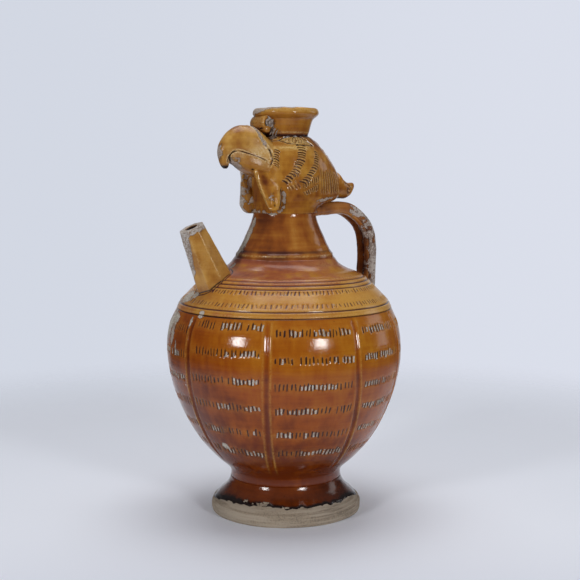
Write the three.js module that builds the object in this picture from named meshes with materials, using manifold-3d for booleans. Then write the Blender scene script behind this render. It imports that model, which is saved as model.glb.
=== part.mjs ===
// Phoenix-head ewer: a glazed stoneware wine ewer, built as the potter builds it.
// The foot, body, shoulder, neck and mouth cup are thrown, the head is formed by hand, and the
// beak, comb, wattles, tuft, spout and handle are shaped apart and luted on with slip.
// Millimetres, +Z up, origin at the middle of the foot's underside, beak and spout towards -X.

import * as THREE from "three";
import { mergeVertices } from "three/addons/utils/BufferGeometryUtils.js";
import Module from "manifold-3d";

const wasm = await Module();
wasm.setup();

// Luting: the slip-filled room left in every joint, and the length of the turned spigots
const seatGap = 0.3;
const spigotLength = 5;
const spigotWall = 4;
const cutOverrun = 6;
// Share of a horn's last ring that is kept round its tip, so that no tip ends in a needle
const tipBluntShare = 0.07;

// Foot: a solid turned pedestal with a shallow hollow beneath
const footHeight = 33;
const footStandRadius = 71.4;
const footRimRadius = 72.8;
const footRimHeight = 10.5;
const footRimEase = 2.5;
const waistRadius = 53.7;
const footHollowRadius = 50;
const footHollowDepth = 3;
const footHollowEase = 2;
const footKeyRadius = 22;
const footKeyDepth = 3;
const footSides = 40;
// Each point is [share of the height above the rim, share of the way from waist to rim]
const footFlareShares = [
  [0.06, 0.93], [0.16, 0.78], [0.29, 0.58], [0.51, 0.29], [0.69, 0.13], [0.87, 0.045],
];

// Body: the thrown belly, with eight pressed flutes between its seam and its foot
const bodyHeight = 166;
const bellyRadius = 113.5;
const bellyRiseShare = 0.765;
const seamRadius = 103.6;
const bodyWall = 7;
const bodyFloor = 9;
const fluteWidth = 4.6;
const fluteDepth = 1.3;
const fluteEase = 14;
const fluteFootRoom = 10;
const fluteSeamRoom = 3;
const plainColumns = 5;
const fluteAngles = [-170, -127.3, -84, -48, 2, 48, 94, 140].map(THREE.MathUtils.degToRad);
// Each point is [share of the height from foot to belly, share of the way from waist to belly]
const lowerBellyShares = [
  [0.04, 0.005], [0.075, 0.04], [0.11, 0.1], [0.15, 0.194], [0.213, 0.33], [0.291, 0.472],
  [0.386, 0.606], [0.496, 0.732], [0.622, 0.844], [0.748, 0.928], [0.874, 0.982],
];
// Each point is [share of the height from belly to seam, share of the way from belly to seam]
const upperBellyShares = [[0.36, 0.12], [0.67, 0.39], [0.87, 0.72]];

// Shoulder: the thrown dome that closes the body, up to the neck's seat
const shoulderHeight = 47.5;
const shoulderTopRadius = 48.2;
const shoulderWall = 6.5;
const shoulderSides = 40;
const ringGrooveDepth = 0.8;
const ringGrooveWidth = 2.2;
// The least way from a groove's edge to the next point of the outline, as a share of their gap
const grooveRoomShare = 0.1;
const upperSeamGrooveShare = 0.115;
const shoulderGrooveShares = [0.495, 0.568, 0.633];
// Each point is [share of the shoulder's height, share of the way from seam to neck]
const shoulderShares = [
  [0.05, 0.03], [0.18, 0.1], [0.29, 0.18], [0.45, 0.32], [0.53, 0.39], [0.6, 0.455],
  [0.68, 0.56], [0.76, 0.715], [0.83, 0.84], [0.91, 0.94],
];

// Neck: a thrown cone with a turned groove and bead above its seat
const neckHeight = 42.5;
const neckTopRadius = 30;
const neckWall = 6;
const neckSides = 36;
const neckGrooveHeight = 7.6;
const neckGrooveDepth = 1;
const neckGrooveWidth = 2.4;
// Each point is [share of the neck's height, share of the way from shoulder to head]
const neckShares = [[0.08, 0.07], [0.3, 0.36], [0.46, 0.55], [0.64, 0.75], [0.84, 0.92]];

// Head: a hollow form, open into the neck below and into the cup above
const headHeight = 73;
const crownRadius = 22;
const headWall = 6;
const throatReach = 33;
const napeReach = 62;
const cheekHalfWidth = 35;
const napeHollowReach = 44;
const napePinchShare = 0.28;
const headSides = 36;
// Each row is [share of the head's height, of the throat's reach, of the nape's reach, of the
// cheek's half width]
const headFormShares = [
  [0.055, 0.91, 0.53, 0.87], [0.11, 0.92, 0.68, 0.885], [0.165, 0.93, 0.89, 0.9],
  [0.235, 0.93, 1, 0.93], [0.33, 0.93, 1, 0.96], [0.425, 0.93, 0.97, 0.985],
  [0.535, 0.94, 0.908, 1], [0.645, 0.97, 0.816, 0.985], [0.755, 1, 0.708, 0.94],
  [0.85, 0.98, 0.608, 0.865], [0.925, 0.9, 0.51, 0.76], [0.975, 0.75, 0.42, 0.68],
];

// Mouth cup: a thrown cup with a spreading rounded rim, set into the crown
const cupHeight = 26.5;
const cupFootRadius = 22.2;
const cupRimRadius = 31.6;
const cupLipRadius = 28;
const cupRimRiseShare = 0.79;
const cupWall = 4.2;
const cupLipWall = 2.4;
const cupSides = 36;
// Each point is [share of the height from foot to rim edge, share of the way out to the rim]
const cupFlareShares = [[0.2, 0.1], [0.5, 0.25], [0.72, 0.42], [0.88, 0.7]];
// Each point is [share of the height from rim edge to top, share of the way in to the lip]
const cupLipShares = [[0.32, 0.06], [0.68, 0.38]];

// Upper beak: a big rounded hooked bill. Lengths run forward from the axis, heights from the crown
const beakReach = 71;
const beakRise = 9.5;
const beakDrop = 29.5;
const beakHalfWidth = 21;
const beakSides = 16;
// How square the section is below its middle: 1 is a plain oval, less is fuller
const beakSquareness = 0.5;
// Each row is [share of the reach and share of the rise or drop for the ridge, the same for the
// mouth edge, and share of the half width]; a negative share is of the drop
const beakShares = [
  [0.3, -0.107, 0.252, -0.988, 1.04], [0.52, 0.84, 0.49, -0.765, 0.95],
  [0.63, 1, 0.6, -0.65, 0.84], [0.74, 0.9, 0.7, -0.57, 0.7], [0.84, 0.48, 0.775, -0.505, 0.56],
  [0.92, -0.03, 0.83, -0.53, 0.44], [0.975, -0.25, 0.862, -0.575, 0.36],
  [1, -0.51, 0.878, -0.67, 0.29], [0.987, -0.73, 0.872, -0.78, 0.25],
  [0.963, -0.9, 0.862, -0.88, 0.215], [0.935, -1, 0.865, -0.985, 0.16],
];
const beakTipShares = [0.9, -1.05];

// Lower beak: the short mandible under the hook
const jawReach = 60.5;
const jawTopDrop = 11;
const jawDepth = 30;
const jawHalfWidth = 19.5;
const jawSides = 14;
// Each row is [reach share and depth share of the upper edge, the same for the underside, and
// share of the half width]; a depth share runs from the jaw's top down to its deepest point
const jawShares = [
  [0.42, 0.33, 0.42, 1, 1], [0.63, 0.22, 0.62, 0.85, 0.93], [0.78, 0.11, 0.76, 0.72, 0.82],
  [0.89, 0.05, 0.86, 0.6, 0.66], [0.97, 0.11, 0.935, 0.52, 0.46], [0.993, 0.19, 0.975, 0.47, 0.32],
];
const jawTipShares = [1, 0.32];

// Comb: a strip of clay curled forward into a scroll between the cup and the beak
const combCentreReach = 24.6;
const combCentreRise = 10.2;
const combCoilRadius = 8.3;
const combCoilPitch = 5.5;
const combStrip = 4.5;
const combHalfLength = 13.2;
const combTurns = 1.02;
const combStart = THREE.MathUtils.degToRad(-20);
const combSteps = 26;
const combVoluteDepth = 2;
const combCoreSides = 22;

// Wattles: a pair of hanging lobes luted to the throat, dropped from the crown
const wattleDrop = 29;
const wattleLength = 44;
const wattleReach = 33;
const wattleSpread = 24.2;
const wattleHalfWidth = 11;
const wattleHalfThickness = 8;
const wattleFacing = THREE.MathUtils.degToRad(55);
const wattleSides = 14;
// Each row is [share of the length, of the reach, of the spread, of the half width, of the half
// thickness]
const wattleShares = [
  [0.07, 0.99, 0.745, 0.87, 0.4], [0.18, 0.94, 0.785, 0.96, 0.5], [0.32, 0.885, 0.847, 1, 0.6],
  [0.545, 0.824, 0.93, 0.88, 0.78], [0.68, 0.797, 0.975, 0.755, 0.95], [0.82, 0.773, 1, 0.6, 1],
  [0.93, 0.755, 0.99, 0.29, 0.6],
];

// Tuft: the upturned tip of the nape feathers, dropped from the crown
const tuftRootReach = 50;
const tuftTipReach = 78.5;
const tuftDrop = 51.5;
const tuftLift = 4;
const tuftHalfWidth = 13;
const tuftHalfHeight = 8.6;
const tuftSides = 12;
// Each row is [share of the way from root to tip, of the lift, of the half width, of the half
// height]
const tuftShares = [
  [0, 0.1, 1, 1], [0.3, 1.15, 0.9, 1.5], [0.46, 0.56, 0.82, 1.215], [0.63, 0.05, 0.7, 0.953],
  [0.78, 0.22, 0.54, 0.77], [0.93, 0.6, 0.32, 0.46],
];

// Handle: two rolls of clay side by side, from under the nape to the back of the shoulder. Its
// foot stands out by a share of the seam's radius, and its top is a rise above the neck
const rollRadius = 6.1;
const rollSides = 8;
const rollSteps = 28;
const handleReachShare = 0.917;
const handleRootReach = 24;
const handleRise = 4.4;
// Each point is [share of the way from root to reach, share of the height from seam to top]
const handlePathShares = [
  [0, 0.955], [0.2, 0.98], [0.4, 0.999], [0.52, 0.998], [0.62, 0.983], [0.765, 0.926],
  [0.888, 0.844], [0.972, 0.726], [1.003, 0.57], [1.005, 0.42], [0.997, 0.22], [0.985, 0],
];

// Spout: a knife-faceted tapering tube, bored through into the shoulder. Its root stands out by a
// share of the seam's radius, and its rises are from the seam
const spoutRootShare = 0.743;
const spoutRootRise = 31;
const spoutTipRise = 78.4;
const spoutTipOut = 21.8;
const spoutTipRadius = 12.4;
const spoutRootRadius = 18.2;
const spoutBoreTip = 5.4;
const spoutBoreRoot = 10;
const spoutFacets = 8;
const boreSides = 16;

// Materials
const amberGlaze = { color: 0xb4701c, roughness: 0.2, metalness: 0 };
const redAmberGlaze = { color: 0x9a4f1a, roughness: 0.22, metalness: 0 };
const headGlaze = { color: 0xb97d26, roughness: 0.2, metalness: 0 };
const wornGlaze = { color: 0x8d6a44, roughness: 0.5, metalness: 0 };

// Heights of the joints above the table, from the foot up
const seamHeight = footHeight + bodyHeight;
const shoulderTop = seamHeight + shoulderHeight;
const neckTop = shoulderTop + neckHeight;
const crownHeight = neckTop + headHeight;
const cupTop = crownHeight + cupHeight;

const ewer = new THREE.Group();

function addPiece(name, geometry, finish) {
  geometry.computeVertexNormals();
  const mesh = new THREE.Mesh(geometry, new THREE.MeshStandardMaterial(finish));
  mesh.name = name;
  ewer.add(mesh);
}

const mix = THREE.MathUtils.lerp;

// Only the places of a geometry, with shared corners joined and its faces turned outward
function closedGeometry(geometry) {
  const bare = new THREE.BufferGeometry();
  bare.setAttribute("position", geometry.getAttribute("position").clone());
  if (geometry.index) {
    bare.setIndex(geometry.index.clone());
  }
  const merged = mergeVertices(bare);
  const place = merged.getAttribute("position");
  const index = merged.index.array;
  const corner = [new THREE.Vector3(), new THREE.Vector3(), new THREE.Vector3()];
  const kept = [];
  let volume = 0;
  for (let i = 0; i < index.length; i += 3) {
    const face = [index[i], index[i + 1], index[i + 2]];
    if (new Set(face).size === 3) {
      kept.push(...face);
      face.forEach((at, k) => corner[k].fromBufferAttribute(place, at));
      volume += corner[0].dot(corner[1].cross(corner[2]));
    }
  }
  merged.setIndex(volume < 0 ? kept.reverse() : kept);
  return merged;
}

function solidOf(geometry) {
  const closed = closedGeometry(geometry);
  return new wasm.Manifold(new wasm.Mesh({
    numProp: 3,
    vertProperties: new Float32Array(closed.getAttribute("position").array),
    triVerts: new Uint32Array(closed.index.array),
  }));
}

function geometryOf(solid) {
  const mesh = solid.getMesh();
  const geometry = new THREE.BufferGeometry();
  geometry.setAttribute("position", new THREE.BufferAttribute(mesh.vertProperties, mesh.numProp));
  geometry.setIndex(new THREE.BufferAttribute(mesh.triVerts, 1));
  return geometry;
}

// The geometry with each of the given solids cut away, without the crumbs that a cut leaves
function cutBy(geometry, ...cutters) {
  const left = cutters.reduce((solid, cutter) => solid.subtract(cutter), solidOf(geometry));
  const bodies = left.decompose().sort((one, other) => other.volume() - one.volume());
  return geometryOf(bodies[0]);
}

// An outline of [radius, height] points turned about the upright axis
function turned(outline, sides) {
  const points = outline.map(([radius, height]) => new THREE.Vector2(radius, height));
  return new THREE.LatheGeometry(points, sides).rotateX(Math.PI / 2);
}

// Rings of points joined into one skin: a closed tube when wrapped, otherwise capped at both ends
function lofted(rings, wrapped = false) {
  const count = rings[0].length;
  const places = rings.flat().flatMap((point) => point.toArray());
  const faces = [];
  const spans = wrapped ? rings.length : rings.length - 1;
  for (let row = 0; row < spans; row += 1) {
    const above = ((row + 1) % rings.length) * count;
    for (let i = 0; i < count; i += 1) {
      const next = (i + 1) % count;
      const here = row * count;
      faces.push(here + i, here + next, above + next, here + i, above + next, above + i);
    }
  }
  if (!wrapped) {
    [[0, 1], [rings.length - 1, 0]].forEach(([row, first]) => {
      const middle = rings[row].reduce((sum, point) => sum.add(point), new THREE.Vector3());
      places.push(...middle.divideScalar(count).toArray());
      const hub = places.length / 3 - 1;
      for (let i = 0; i < count; i += 1) {
        const pair = [row * count + i, row * count + ((i + 1) % count)];
        faces.push(pair[first], pair[1 - first], hub);
      }
    });
  }
  const geometry = new THREE.BufferGeometry();
  geometry.setAttribute("position", new THREE.Float32BufferAttribute(places, 3));
  geometry.setIndex(faces);
  return geometry;
}

// The outline moved inward by a wall, square to itself, with its two end heights kept
function insideOf(outline, wall) {
  const last = outline.length - 1;
  return outline.map(([radius, height], i) => {
    const [radiusBefore, heightBefore] = outline[Math.max(i - 1, 0)];
    const [radiusAfter, heightAfter] = outline[Math.min(i + 1, last)];
    const run = new THREE.Vector2(radiusAfter - radiusBefore, heightAfter - heightBefore);
    run.normalize();
    const atEnd = i === 0 || i === last;
    return atEnd ? [radius - wall, height] : [radius - wall * run.y, height + wall * run.x];
  });
}

// A turned groove: three points that dip below the outline between two of its neighbours
function grooved(outline, height, width, depth) {
  const at = outline.findIndex(([, z]) => z > height);
  const [radiusBelow, heightBelow] = outline[at - 1];
  const [radiusAbove, heightAbove] = outline[at];
  const radiusAt = (z) => {
    return mix(radiusBelow, radiusAbove, (z - heightBelow) / (heightAbove - heightBelow));
  };
  const low = Math.max(height - width / 2, mix(heightBelow, height, grooveRoomShare));
  const high = Math.min(height + width / 2, mix(heightAbove, height, grooveRoomShare));
  const dip = [[radiusAt(low), low], [radiusAt(height) - depth, height], [radiusAt(high), high]];
  return [...outline.slice(0, at), ...dip, ...outline.slice(at)];
}

// Foot
function footOutline() {
  const flare = footFlareShares.map(([rise, out]) => [
    mix(waistRadius, footRimRadius, out), mix(footRimHeight, footHeight, rise),
  ]);
  return [
    [0, footHollowDepth], [footHollowRadius, footHollowDepth],
    [footHollowRadius + footHollowEase, 0], [footStandRadius, 0],
    [footRimRadius, footRimEase], [footRimRadius, footRimHeight], ...flare,
    [waistRadius, footHeight], [footKeyRadius, footHeight],
    [footKeyRadius, footHeight - footKeyDepth], [0, footHeight - footKeyDepth],
  ];
}

addPiece("foot", closedGeometry(turned(footOutline(), footSides)), redAmberGlaze);

// Body
const bodyBase = footHeight + seatGap;
const bellyHeight = mix(footHeight, seamHeight, bellyRiseShare);

function bodyOuter() {
  const lower = lowerBellyShares.map(([rise, out]) => [
    mix(waistRadius, bellyRadius, out), mix(bodyBase, bellyHeight, rise),
  ]);
  const upper = upperBellyShares.map(([rise, inward]) => [
    mix(bellyRadius, seamRadius, inward), mix(bellyHeight, seamHeight, rise),
  ]);
  return [
    [waistRadius, bodyBase], ...lower, [bellyRadius, bellyHeight], ...upper,
    [seamRadius, seamHeight],
  ];
}

function bodyInner() {
  const floorTop = bodyBase + bodyFloor;
  const wall = insideOf(bodyOuter(), bodyWall).filter(([, height], i) => i > 0 && height > floorTop);
  const rounded = wall.filter(([, height], i) => height > floorTop + bodyFloor / 2 && i % 2 === 0);
  const mouth = wall[wall.length - 1];
  const inside = rounded.filter(([, height]) => height < mouth[1]);
  return [[0, floorTop], [inside[0][0] - bodyFloor, floorTop], ...inside, mouth];
}

// Columns of the body round its axis: three at each flute and plain ones between
function bodyColumns() {
  const halfAngle = fluteWidth / 2 / bellyRadius;
  const columns = [];
  fluteAngles.forEach((angle, k) => {
    const wrap = k + 1 < fluteAngles.length ? 0 : 2 * Math.PI;
    const next = fluteAngles[(k + 1) % fluteAngles.length] + wrap - halfAngle;
    columns.push({ angle: angle - halfAngle, depth: 0 }, { angle, depth: fluteDepth });
    for (let i = 0; i < plainColumns; i += 1) {
      columns.push({ angle: mix(angle + halfAngle, next, i / plainColumns), depth: 0 });
    }
  });
  return [...columns, { angle: columns[0].angle + 2 * Math.PI, depth: 0 }];
}

function fluteFade(height) {
  const low = bodyBase + fluteFootRoom;
  const high = seamHeight - fluteSeamRoom;
  const rise = THREE.MathUtils.clamp((height - low) / fluteEase, 0, 1);
  const fall = THREE.MathUtils.clamp((high - height) / fluteEase, 0, 1);
  return Math.min(rise, fall);
}

function bodyGeometry() {
  const outer = bodyOuter();
  const inner = bodyInner();
  const keyTop = bodyBase - footKeyDepth;
  const key = [
    [0, keyTop], [footKeyRadius - seatGap, keyTop], [footKeyRadius - seatGap, bodyBase],
  ];
  const outline = [...key, ...outer, ...inner.reverse()];
  const columns = bodyColumns();
  const geometry = turned(outline, columns.length - 1);
  const place = geometry.getAttribute("position");
  columns.forEach(({ angle, depth }, column) => {
    outline.forEach(([radius, height], row) => {
      const outside = row >= key.length && row < key.length + outer.length;
      const reach = radius - (outside ? depth * fluteFade(height) : 0);
      const at = column * outline.length + row;
      place.setXYZ(at, reach * Math.cos(angle), reach * Math.sin(angle), height);
    });
  });
  return closedGeometry(geometry);
}

addPiece("body", bodyGeometry(), amberGlaze);

// Shoulder
const shoulderBase = seamHeight + seatGap;
const shoulderMouthRadius = shoulderTopRadius - shoulderWall;

function shoulderOuter() {
  const dome = shoulderShares.map(([rise, inward]) => [
    mix(seamRadius, shoulderTopRadius, inward), mix(shoulderBase, shoulderTop, rise),
  ]);
  return [[seamRadius, shoulderBase], ...dome, [shoulderTopRadius, shoulderTop]];
}

function shoulderOutline() {
  const grooves = [upperSeamGrooveShare, ...shoulderGrooveShares];
  const outer = grooves.reduce((outline, share) => {
    const height = mix(shoulderBase, shoulderTop, share);
    return grooved(outline, height, ringGrooveWidth, ringGrooveDepth);
  }, shoulderOuter());
  const spigotRadius = seamRadius - bodyWall - seatGap;
  const inner = insideOf(shoulderOuter(), shoulderWall).filter((_, i) => i % 2 === 1);
  const spigot = [
    [spigotRadius, shoulderBase - spigotLength], [spigotRadius, shoulderBase],
  ];
  const inside = [...inner].reverse().filter(([radius]) => radius < spigotRadius - spigotWall);
  return [
    ...spigot, ...outer, [shoulderMouthRadius, shoulderTop],
    ...inside, [spigotRadius - spigotWall, shoulderBase - spigotLength], spigot[0],
  ];
}

// The line that the spout's axis follows
const spoutRoot = new THREE.Vector3(-spoutRootShare * seamRadius, 0, seamHeight + spoutRootRise);
const spoutRun = new THREE.Vector3(-spoutTipOut, 0, spoutTipRise - spoutRootRise);
const spoutLean = Math.atan2(-spoutRun.x, spoutRun.z);

// A tapering round or faceted bar along the spout's axis, longer than the spout by its overruns
function spoutBar(tipRadius, rootRadius, sides, tipOverrun, rootOverrun) {
  const length = spoutRun.length();
  const slope = (tipRadius - rootRadius) / length;
  const whole = length + tipOverrun + rootOverrun;
  const bar = new THREE.CylinderGeometry(
    tipRadius + slope * tipOverrun, rootRadius - slope * rootOverrun, whole, sides, 1,
  );
  bar.rotateY(Math.PI / sides);
  bar.translate(0, whole / 2 - rootOverrun, 0);
  bar.rotateX(Math.PI / 2);
  bar.rotateY(-spoutLean);
  return bar.translate(...spoutRoot.toArray());
}

const boreReachIn = spoutRootRadius + cutOverrun;
const spoutBore = solidOf(spoutBar(spoutBoreTip, spoutBoreRoot, boreSides, cutOverrun, boreReachIn));

addPiece("shoulder", cutBy(turned(shoulderOutline(), shoulderSides), spoutBore), amberGlaze);

// Solid forms with the joint's room added, which cut the pieces that are luted against them
function swollen(outline, sides) {
  const grown = outline.map(([radius, height]) => [radius + seatGap, height]);
  const low = grown[0][1] - seatGap;
  const high = grown[grown.length - 1][1] + seatGap;
  const ends = [[0, high], [0, low]];
  return solidOf(turned([
    ends[1], [grown[0][0], low], ...grown.slice(1, -1), [grown[grown.length - 1][0], high], ends[0],
  ], sides));
}

// The shoulder's slope is shallow, so its cutter is raised as well as widened
const shoulderCutter = solidOf(turned([
  [0, shoulderBase], ...shoulderOuter().map(([radius, height]) => [
    radius + seatGap, height + seatGap,
  ]), [0, shoulderTop + seatGap],
], shoulderSides));

// Neck
const neckBase = shoulderTop + seatGap;

function neckOuter() {
  const cone = neckShares.map(([rise, inward]) => [
    mix(shoulderTopRadius, neckTopRadius, inward), mix(neckBase, neckTop, rise),
  ]);
  return [[shoulderTopRadius, neckBase], ...cone, [neckTopRadius, neckTop]];
}

function neckOutline() {
  const outer = grooved(neckOuter(), neckBase + neckGrooveHeight, neckGrooveWidth, neckGrooveDepth);
  const lowRadius = shoulderMouthRadius - seatGap;
  const highRadius = neckTopRadius - headWall - seatGap;
  const inner = insideOf(neckOuter(), neckWall).slice(1, -1).reverse();
  const low = [[lowRadius, neckBase - spigotLength], [lowRadius, neckBase]];
  const high = [
    [highRadius, neckTop], [highRadius, neckTop + spigotLength],
    [highRadius - spigotWall, neckTop + spigotLength],
  ];
  return [...low, ...outer, ...high, ...inner,
    [lowRadius - spigotWall, neckBase - spigotLength], low[0]];
}

addPiece("neck", closedGeometry(turned(neckOutline(), neckSides)), amberGlaze);

// Head
const headBase = neckTop + seatGap;

function headSections() {
  const form = headFormShares.map(([rise, front, back, side]) => ({
    height: mix(headBase, crownHeight, rise),
    front: front * throatReach,
    back: back * napeReach,
    side: side * cheekHalfWidth,
  }));
  const round = (height, radius) => ({ height, front: radius, back: radius, side: radius });
  return [round(headBase, neckTopRadius), ...form, round(crownHeight, crownRadius)];
}

// One level ring of the head: half ellipses to the front and the back, the back one pinched
function headRing({ height, front, back, side }) {
  const pinch = napePinchShare * THREE.MathUtils.clamp((back - side) / side, 0, 1);
  return Array.from({ length: headSides }, (_, i) => {
    const turn = (2 * Math.PI * i) / headSides;
    const forward = Math.cos(turn);
    const reach = forward > 0 ? back : front;
    const width = side * (forward > 0 ? 1 - pinch * forward * forward : 1);
    return new THREE.Vector3(reach * forward, width * Math.sin(turn), height);
  });
}

function grownSection({ height, front, back, side }, extra) {
  return { height, front: front + extra, back: back + extra, side: side + extra };
}

function headGeometry() {
  const outer = headSections();
  const last = outer.length - 1;
  const inner = outer.filter((_, i) => i % 2 === 0 || i === last).map((section) => {
    const back = Math.min(section.back, napeHollowReach);
    return grownSection({ ...section, back }, -headWall);
  });
  return lofted([...outer, ...inner.reverse()].map(headRing), true);
}

addPiece("head", closedGeometry(headGeometry()), headGlaze);

const headCutter = solidOf(lofted(headSections().map((section) => {
  return headRing(grownSection(section, seatGap));
})));
const neckCutter = swollen(neckOuter(), neckSides);

// Mouth cup
const cupBase = crownHeight + seatGap;
const cupRimHeight = mix(crownHeight, cupTop, cupRimRiseShare);

function cupOuter() {
  const flare = cupFlareShares.map(([rise, out]) => [
    mix(cupFootRadius, cupRimRadius, out), mix(cupBase, cupRimHeight, rise),
  ]);
  const lip = cupLipShares.map(([rise, inward]) => [
    mix(cupRimRadius, cupLipRadius, inward), mix(cupRimHeight, cupTop, rise),
  ]);
  return [[cupFootRadius, cupBase], ...flare, [cupRimRadius, cupRimHeight], ...lip,
    [cupLipRadius, cupTop]];
}

function cupOutline() {
  const spigotRadius = crownRadius - headWall - seatGap;
  const well = cupFlareShares.map(([rise, out]) => [
    mix(cupFootRadius, cupRimRadius, out) - cupWall, mix(cupBase, cupRimHeight, rise),
  ]);
  const low = [[spigotRadius, cupBase - spigotLength], [spigotRadius, cupBase]];
  return [...low, ...cupOuter(), [cupLipRadius - cupLipWall, cupTop], ...well.reverse(),
    [spigotRadius - spigotWall / 2, cupBase - spigotLength], low[0]];
}

addPiece("mouth_cup", closedGeometry(turned(cupOutline(), cupSides)), headGlaze);

const cupCutter = swollen(cupOuter(), cupSides);

// A ring standing across the head's middle plane, from a ridge point to an edge point below it
function crossRing([ridgeX, ridgeZ], [edgeX, edgeZ], halfWidth, sides, squareAbove, squareBelow) {
  const middle = new THREE.Vector3((ridgeX + edgeX) / 2, 0, (ridgeZ + edgeZ) / 2);
  const up = new THREE.Vector3((ridgeX - edgeX) / 2, 0, (ridgeZ - edgeZ) / 2);
  return Array.from({ length: sides }, (_, i) => {
    const turn = (2 * Math.PI * i) / sides;
    const squareness = Math.cos(turn) > 0 ? squareAbove : squareBelow;
    const fuller = (value) => Math.sign(value) * Math.abs(value) ** squareness;
    const point = middle.clone().addScaledVector(up, fuller(Math.cos(turn)));
    point.y = halfWidth * fuller(Math.sin(turn));
    return point;
  });
}

// A short ring round a tip point, so that a horn ends rounded and not in a needle
function tipRing(point, last) {
  return last.map((corner) => point.clone().lerp(corner, tipBluntShare));
}

// Moves the ridge and edge of a section apart by the joint's room
function apart([x1, z1], [x2, z2], extra) {
  const run = new THREE.Vector2(x1 - x2, z1 - z2).normalize().multiplyScalar(extra);
  return [[x1 + run.x, z1 + run.y], [x2 - run.x, z2 - run.y]];
}

// Upper beak
function beakHeight(share) {
  return crownHeight + share * (share > 0 ? beakRise : beakDrop);
}

function beakGeometry(extra) {
  const rings = beakShares.map(([ridgeOut, ridgeUp, edgeOut, edgeUp, wide]) => {
    const ridge = [-ridgeOut * beakReach, beakHeight(ridgeUp)];
    const edge = [-edgeOut * beakReach, beakHeight(edgeUp)];
    const halfWidth = wide * beakHalfWidth + extra;
    return crossRing(...apart(ridge, edge, extra), halfWidth, beakSides, 1, beakSquareness);
  });
  const [tipOut, tipUp] = beakTipShares;
  const tip = new THREE.Vector3(-tipOut * beakReach, 0, beakHeight(tipUp) - extra);
  return lofted([...rings, tipRing(tip, rings[rings.length - 1])]);
}

addPiece("upper_beak", cutBy(beakGeometry(0), headCutter), headGlaze);
const beakCutter = solidOf(beakGeometry(seatGap));

// Lower beak
const jawTop = crownHeight - jawTopDrop;

function jawGeometry(extra) {
  const rings = jawShares.map(([topOut, topDown, lowOut, lowDown, wide]) => {
    const top = [-topOut * jawReach, jawTop - topDown * jawDepth];
    const low = [-lowOut * jawReach, jawTop - lowDown * jawDepth];
    const halfWidth = wide * jawHalfWidth + extra;
    return crossRing(...apart(top, low, extra), halfWidth, jawSides, beakSquareness, 1);
  });
  const [tipOut, tipDown] = jawTipShares;
  const tip = new THREE.Vector3(-tipOut * jawReach - extra, 0, jawTop - tipDown * jawDepth);
  return lofted([...rings, tipRing(tip, rings[rings.length - 1])]);
}

addPiece("lower_beak", cutBy(jawGeometry(0), headCutter, beakCutter), headGlaze);
const jawCutter = solidOf(jawGeometry(seatGap));

// Comb
function combOutline() {
  const side = (offset) => Array.from({ length: combSteps + 1 }, (_, i) => {
    const turn = (2 * Math.PI * combTurns * i) / combSteps;
    const radius = combCoilRadius - (combCoilPitch * turn) / (2 * Math.PI) + offset;
    const angle = combStart + turn;
    return new THREE.Vector2(radius * Math.cos(angle), radius * Math.sin(angle));
  });
  return [...side(combStrip / 2), ...side(-combStrip / 2).reverse()];
}

// The rolled strip shows as a volute at both ends, and is pressed solid between them
function combGeometry() {
  const strip = new THREE.ExtrudeGeometry(new THREE.Shape(combOutline()), {
    depth: 2 * combHalfLength, steps: 1, bevelEnabled: false,
  });
  strip.translate(0, 0, -combHalfLength).rotateX(Math.PI / 2);
  const coreLength = 2 * (combHalfLength - combVoluteDepth);
  const core = new THREE.CylinderGeometry(combCoilRadius, combCoilRadius, coreLength, combCoreSides);
  const comb = geometryOf(solidOf(strip).add(solidOf(core)));
  return comb.translate(-combCentreReach, 0, crownHeight + combCentreRise);
}

addPiece("comb_scroll", cutBy(combGeometry(), cupCutter, headCutter, beakCutter), wornGlaze);

// Wattles
const wattleTop = crownHeight - wattleDrop;

function wattleGeometry(sign) {
  const across = new THREE.Vector3(Math.sin(wattleFacing), sign * Math.cos(wattleFacing), 0);
  const outward = new THREE.Vector3(-Math.cos(wattleFacing), sign * Math.sin(wattleFacing), 0);
  const rings = wattleShares.map(([down, out, spread, wide, thick]) => {
    const middle = new THREE.Vector3(
      -out * wattleReach, sign * spread * wattleSpread, wattleTop - down * wattleLength,
    );
    return Array.from({ length: wattleSides }, (_, i) => {
      const turn = (2 * Math.PI * i) / wattleSides;
      const point = middle.clone();
      point.addScaledVector(across, wide * wattleHalfWidth * Math.cos(turn));
      return point.addScaledVector(outward, thick * wattleHalfThickness * Math.sin(turn));
    });
  });
  return lofted(rings);
}

addPiece("wattle_right", cutBy(wattleGeometry(-1), headCutter, neckCutter, jawCutter), headGlaze);
addPiece("wattle_left", cutBy(wattleGeometry(1), headCutter, neckCutter, jawCutter), wornGlaze);

// Tuft
const tuftHeight = crownHeight - tuftDrop;

function tuftGeometry() {
  const rings = tuftShares.map(([along, lift, wide, tall]) => {
    const reach = mix(tuftRootReach, tuftTipReach, along);
    const height = tuftHeight + lift * tuftLift;
    return Array.from({ length: tuftSides }, (_, i) => {
      const turn = (2 * Math.PI * i) / tuftSides;
      const across = wide * tuftHalfWidth * Math.cos(turn);
      return new THREE.Vector3(reach, across, height + tall * tuftHalfHeight * Math.sin(turn));
    });
  });
  const tip = new THREE.Vector3(tuftTipReach, 0, tuftHeight + tuftLift);
  return lofted([...rings, tipRing(tip, rings[rings.length - 1])]);
}

addPiece("nape_tuft", cutBy(tuftGeometry(), headCutter), headGlaze);

// Handle
const handleReach = handleReachShare * seamRadius;
const handleTop = neckTop + handleRise;

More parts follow.
